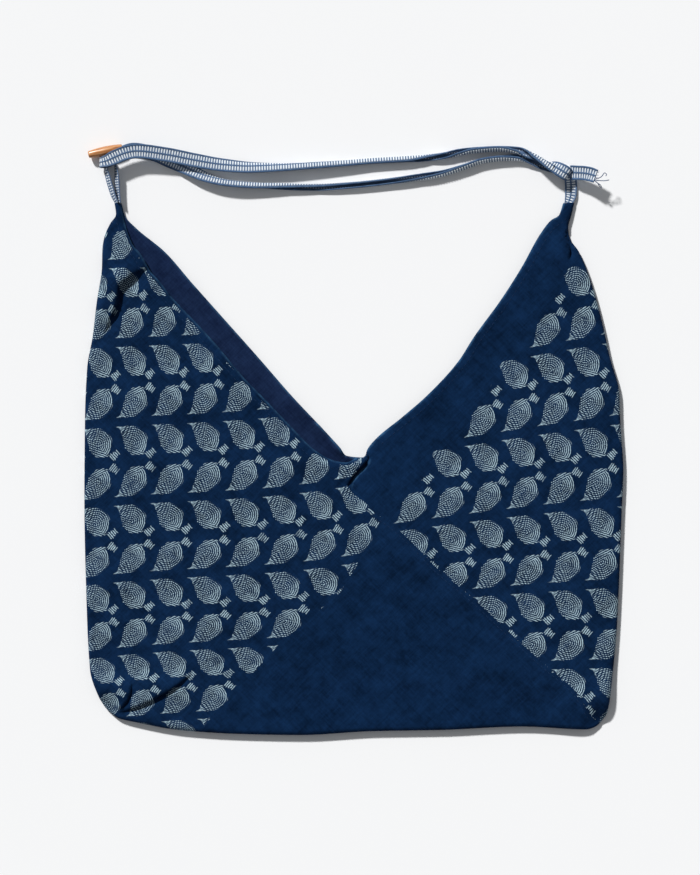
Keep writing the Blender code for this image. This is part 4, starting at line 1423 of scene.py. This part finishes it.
# %% Toggle
TOGGLE_START = (-247.0, 264.6, 6.1)
TOGGLE_END = (-215.4, 271.2, 6.1)
TOGGLE_RADII = (  # share of its length, radius
    (0, 2.6), (0.006, 3), (0.03, 3.35), (0.12, 3.75), (0.28, 4.2), (0.5, 4.5), (0.72, 4.2),
    (0.88, 3.75), (0.97, 3.35), (0.994, 3), (1, 2.6),
)
WOOD = ("#6E3A1C", "#B87844", "#D9A877")


def spindle():
    start, end = np.array(TOGGLE_START), np.array(TOGGLE_END)
    axis = (end - start) / np.linalg.norm(end - start)
    side = np.cross((0, 0, 1), axis)
    up = np.cross(axis, side)
    angle = np.linspace(0, 2 * np.pi, 48, endpoint=False)
    shares = np.unique(np.concatenate((np.linspace(0, 1, 40), [s for s, _ in TOGGLE_RADII])))
    radii = smooth(TOGGLE_RADII, shares)
    rings = [
        start + share * (end - start)
        + radius * (np.outer(np.cos(angle), side) + np.outer(np.sin(angle), up))
        for share, radius in zip(shares, radii)
    ]
    count, around = len(rings), len(angle)
    faces = [
        (i * around + j, i * around + (j + 1) % around,
         (i + 1) * around + (j + 1) % around, (i + 1) * around + j)
        for i in range(count - 1) for j in range(around)
    ]
    faces += [tuple(reversed(range(around))), tuple(range((count - 1) * around, count * around))]
    mesh = bpy.data.meshes.new("wood_toggle")
    mesh.from_pydata([tuple(p) for p in np.vstack(rings) * MM], [], faces)
    mesh.shade_smooth()
    for face in mesh.polygons[-2:]:
        face.use_smooth = False
    return object_of("wood_toggle", mesh), np.arctan2(axis[1], axis[0])


print("toggle", round(float(np.hypot(*np.subtract(TOGGLE_END, TOGGLE_START)[:2])), 1), "mm long")

# %% [markdown]
# ## Oiled wood
# The grain is a noise stretched along the spindle, with finer pores on it. Oil and handling
# leave a low satin gloss, which a thin coat gives.

# %% Wood
def oiled_wood(add, turn):
    place = add("TexCoord", out="Object")
    place = add("Mapping", {"Vector": place, "Rotation": (0, 0, -turn)})
    grain = add("Mapping", {"Vector": place, "Scale": (45.0, 520.0, 520.0)})
    grain = add("TexNoise", {"Vector": grain, "Scale": 1.0, "Detail": 5.0, "Roughness": 0.62,
                             "Distortion": 0.6})
    pores = add("Mapping", {"Vector": place, "Scale": (300.0, 4200.0, 4200.0)})
    pores = add("TexNoise", {"Vector": pores, "Scale": 1.0, "Detail": 2.0})
    tone = add("Math MULTIPLY_ADD", pores, 0.35, grain)
    colour = add("ValToRGB", tone, out="Color")
    stops = colour.node.color_ramp.elements
    stops[0].position, stops[1].position = 0.42, 0.92
    stops.new(0.66)
    for stop, shade in zip(stops, WOOD):
        stop.color = linear(shade)
    return colour, tone, 0.25, 0.0002


OILED = {"Roughness": 0.34, "Coat Weight": 0.35, "Coat Roughness": 0.22}
toggle, toggle_turn = spindle()
toggle.data.materials.append(look_of("oiled turned wood", OILED, oiled_wood, toggle_turn))
placed(toggle, "toggle_wood", "toggle")
print("toggle", len(toggle.data.polygons), "faces")
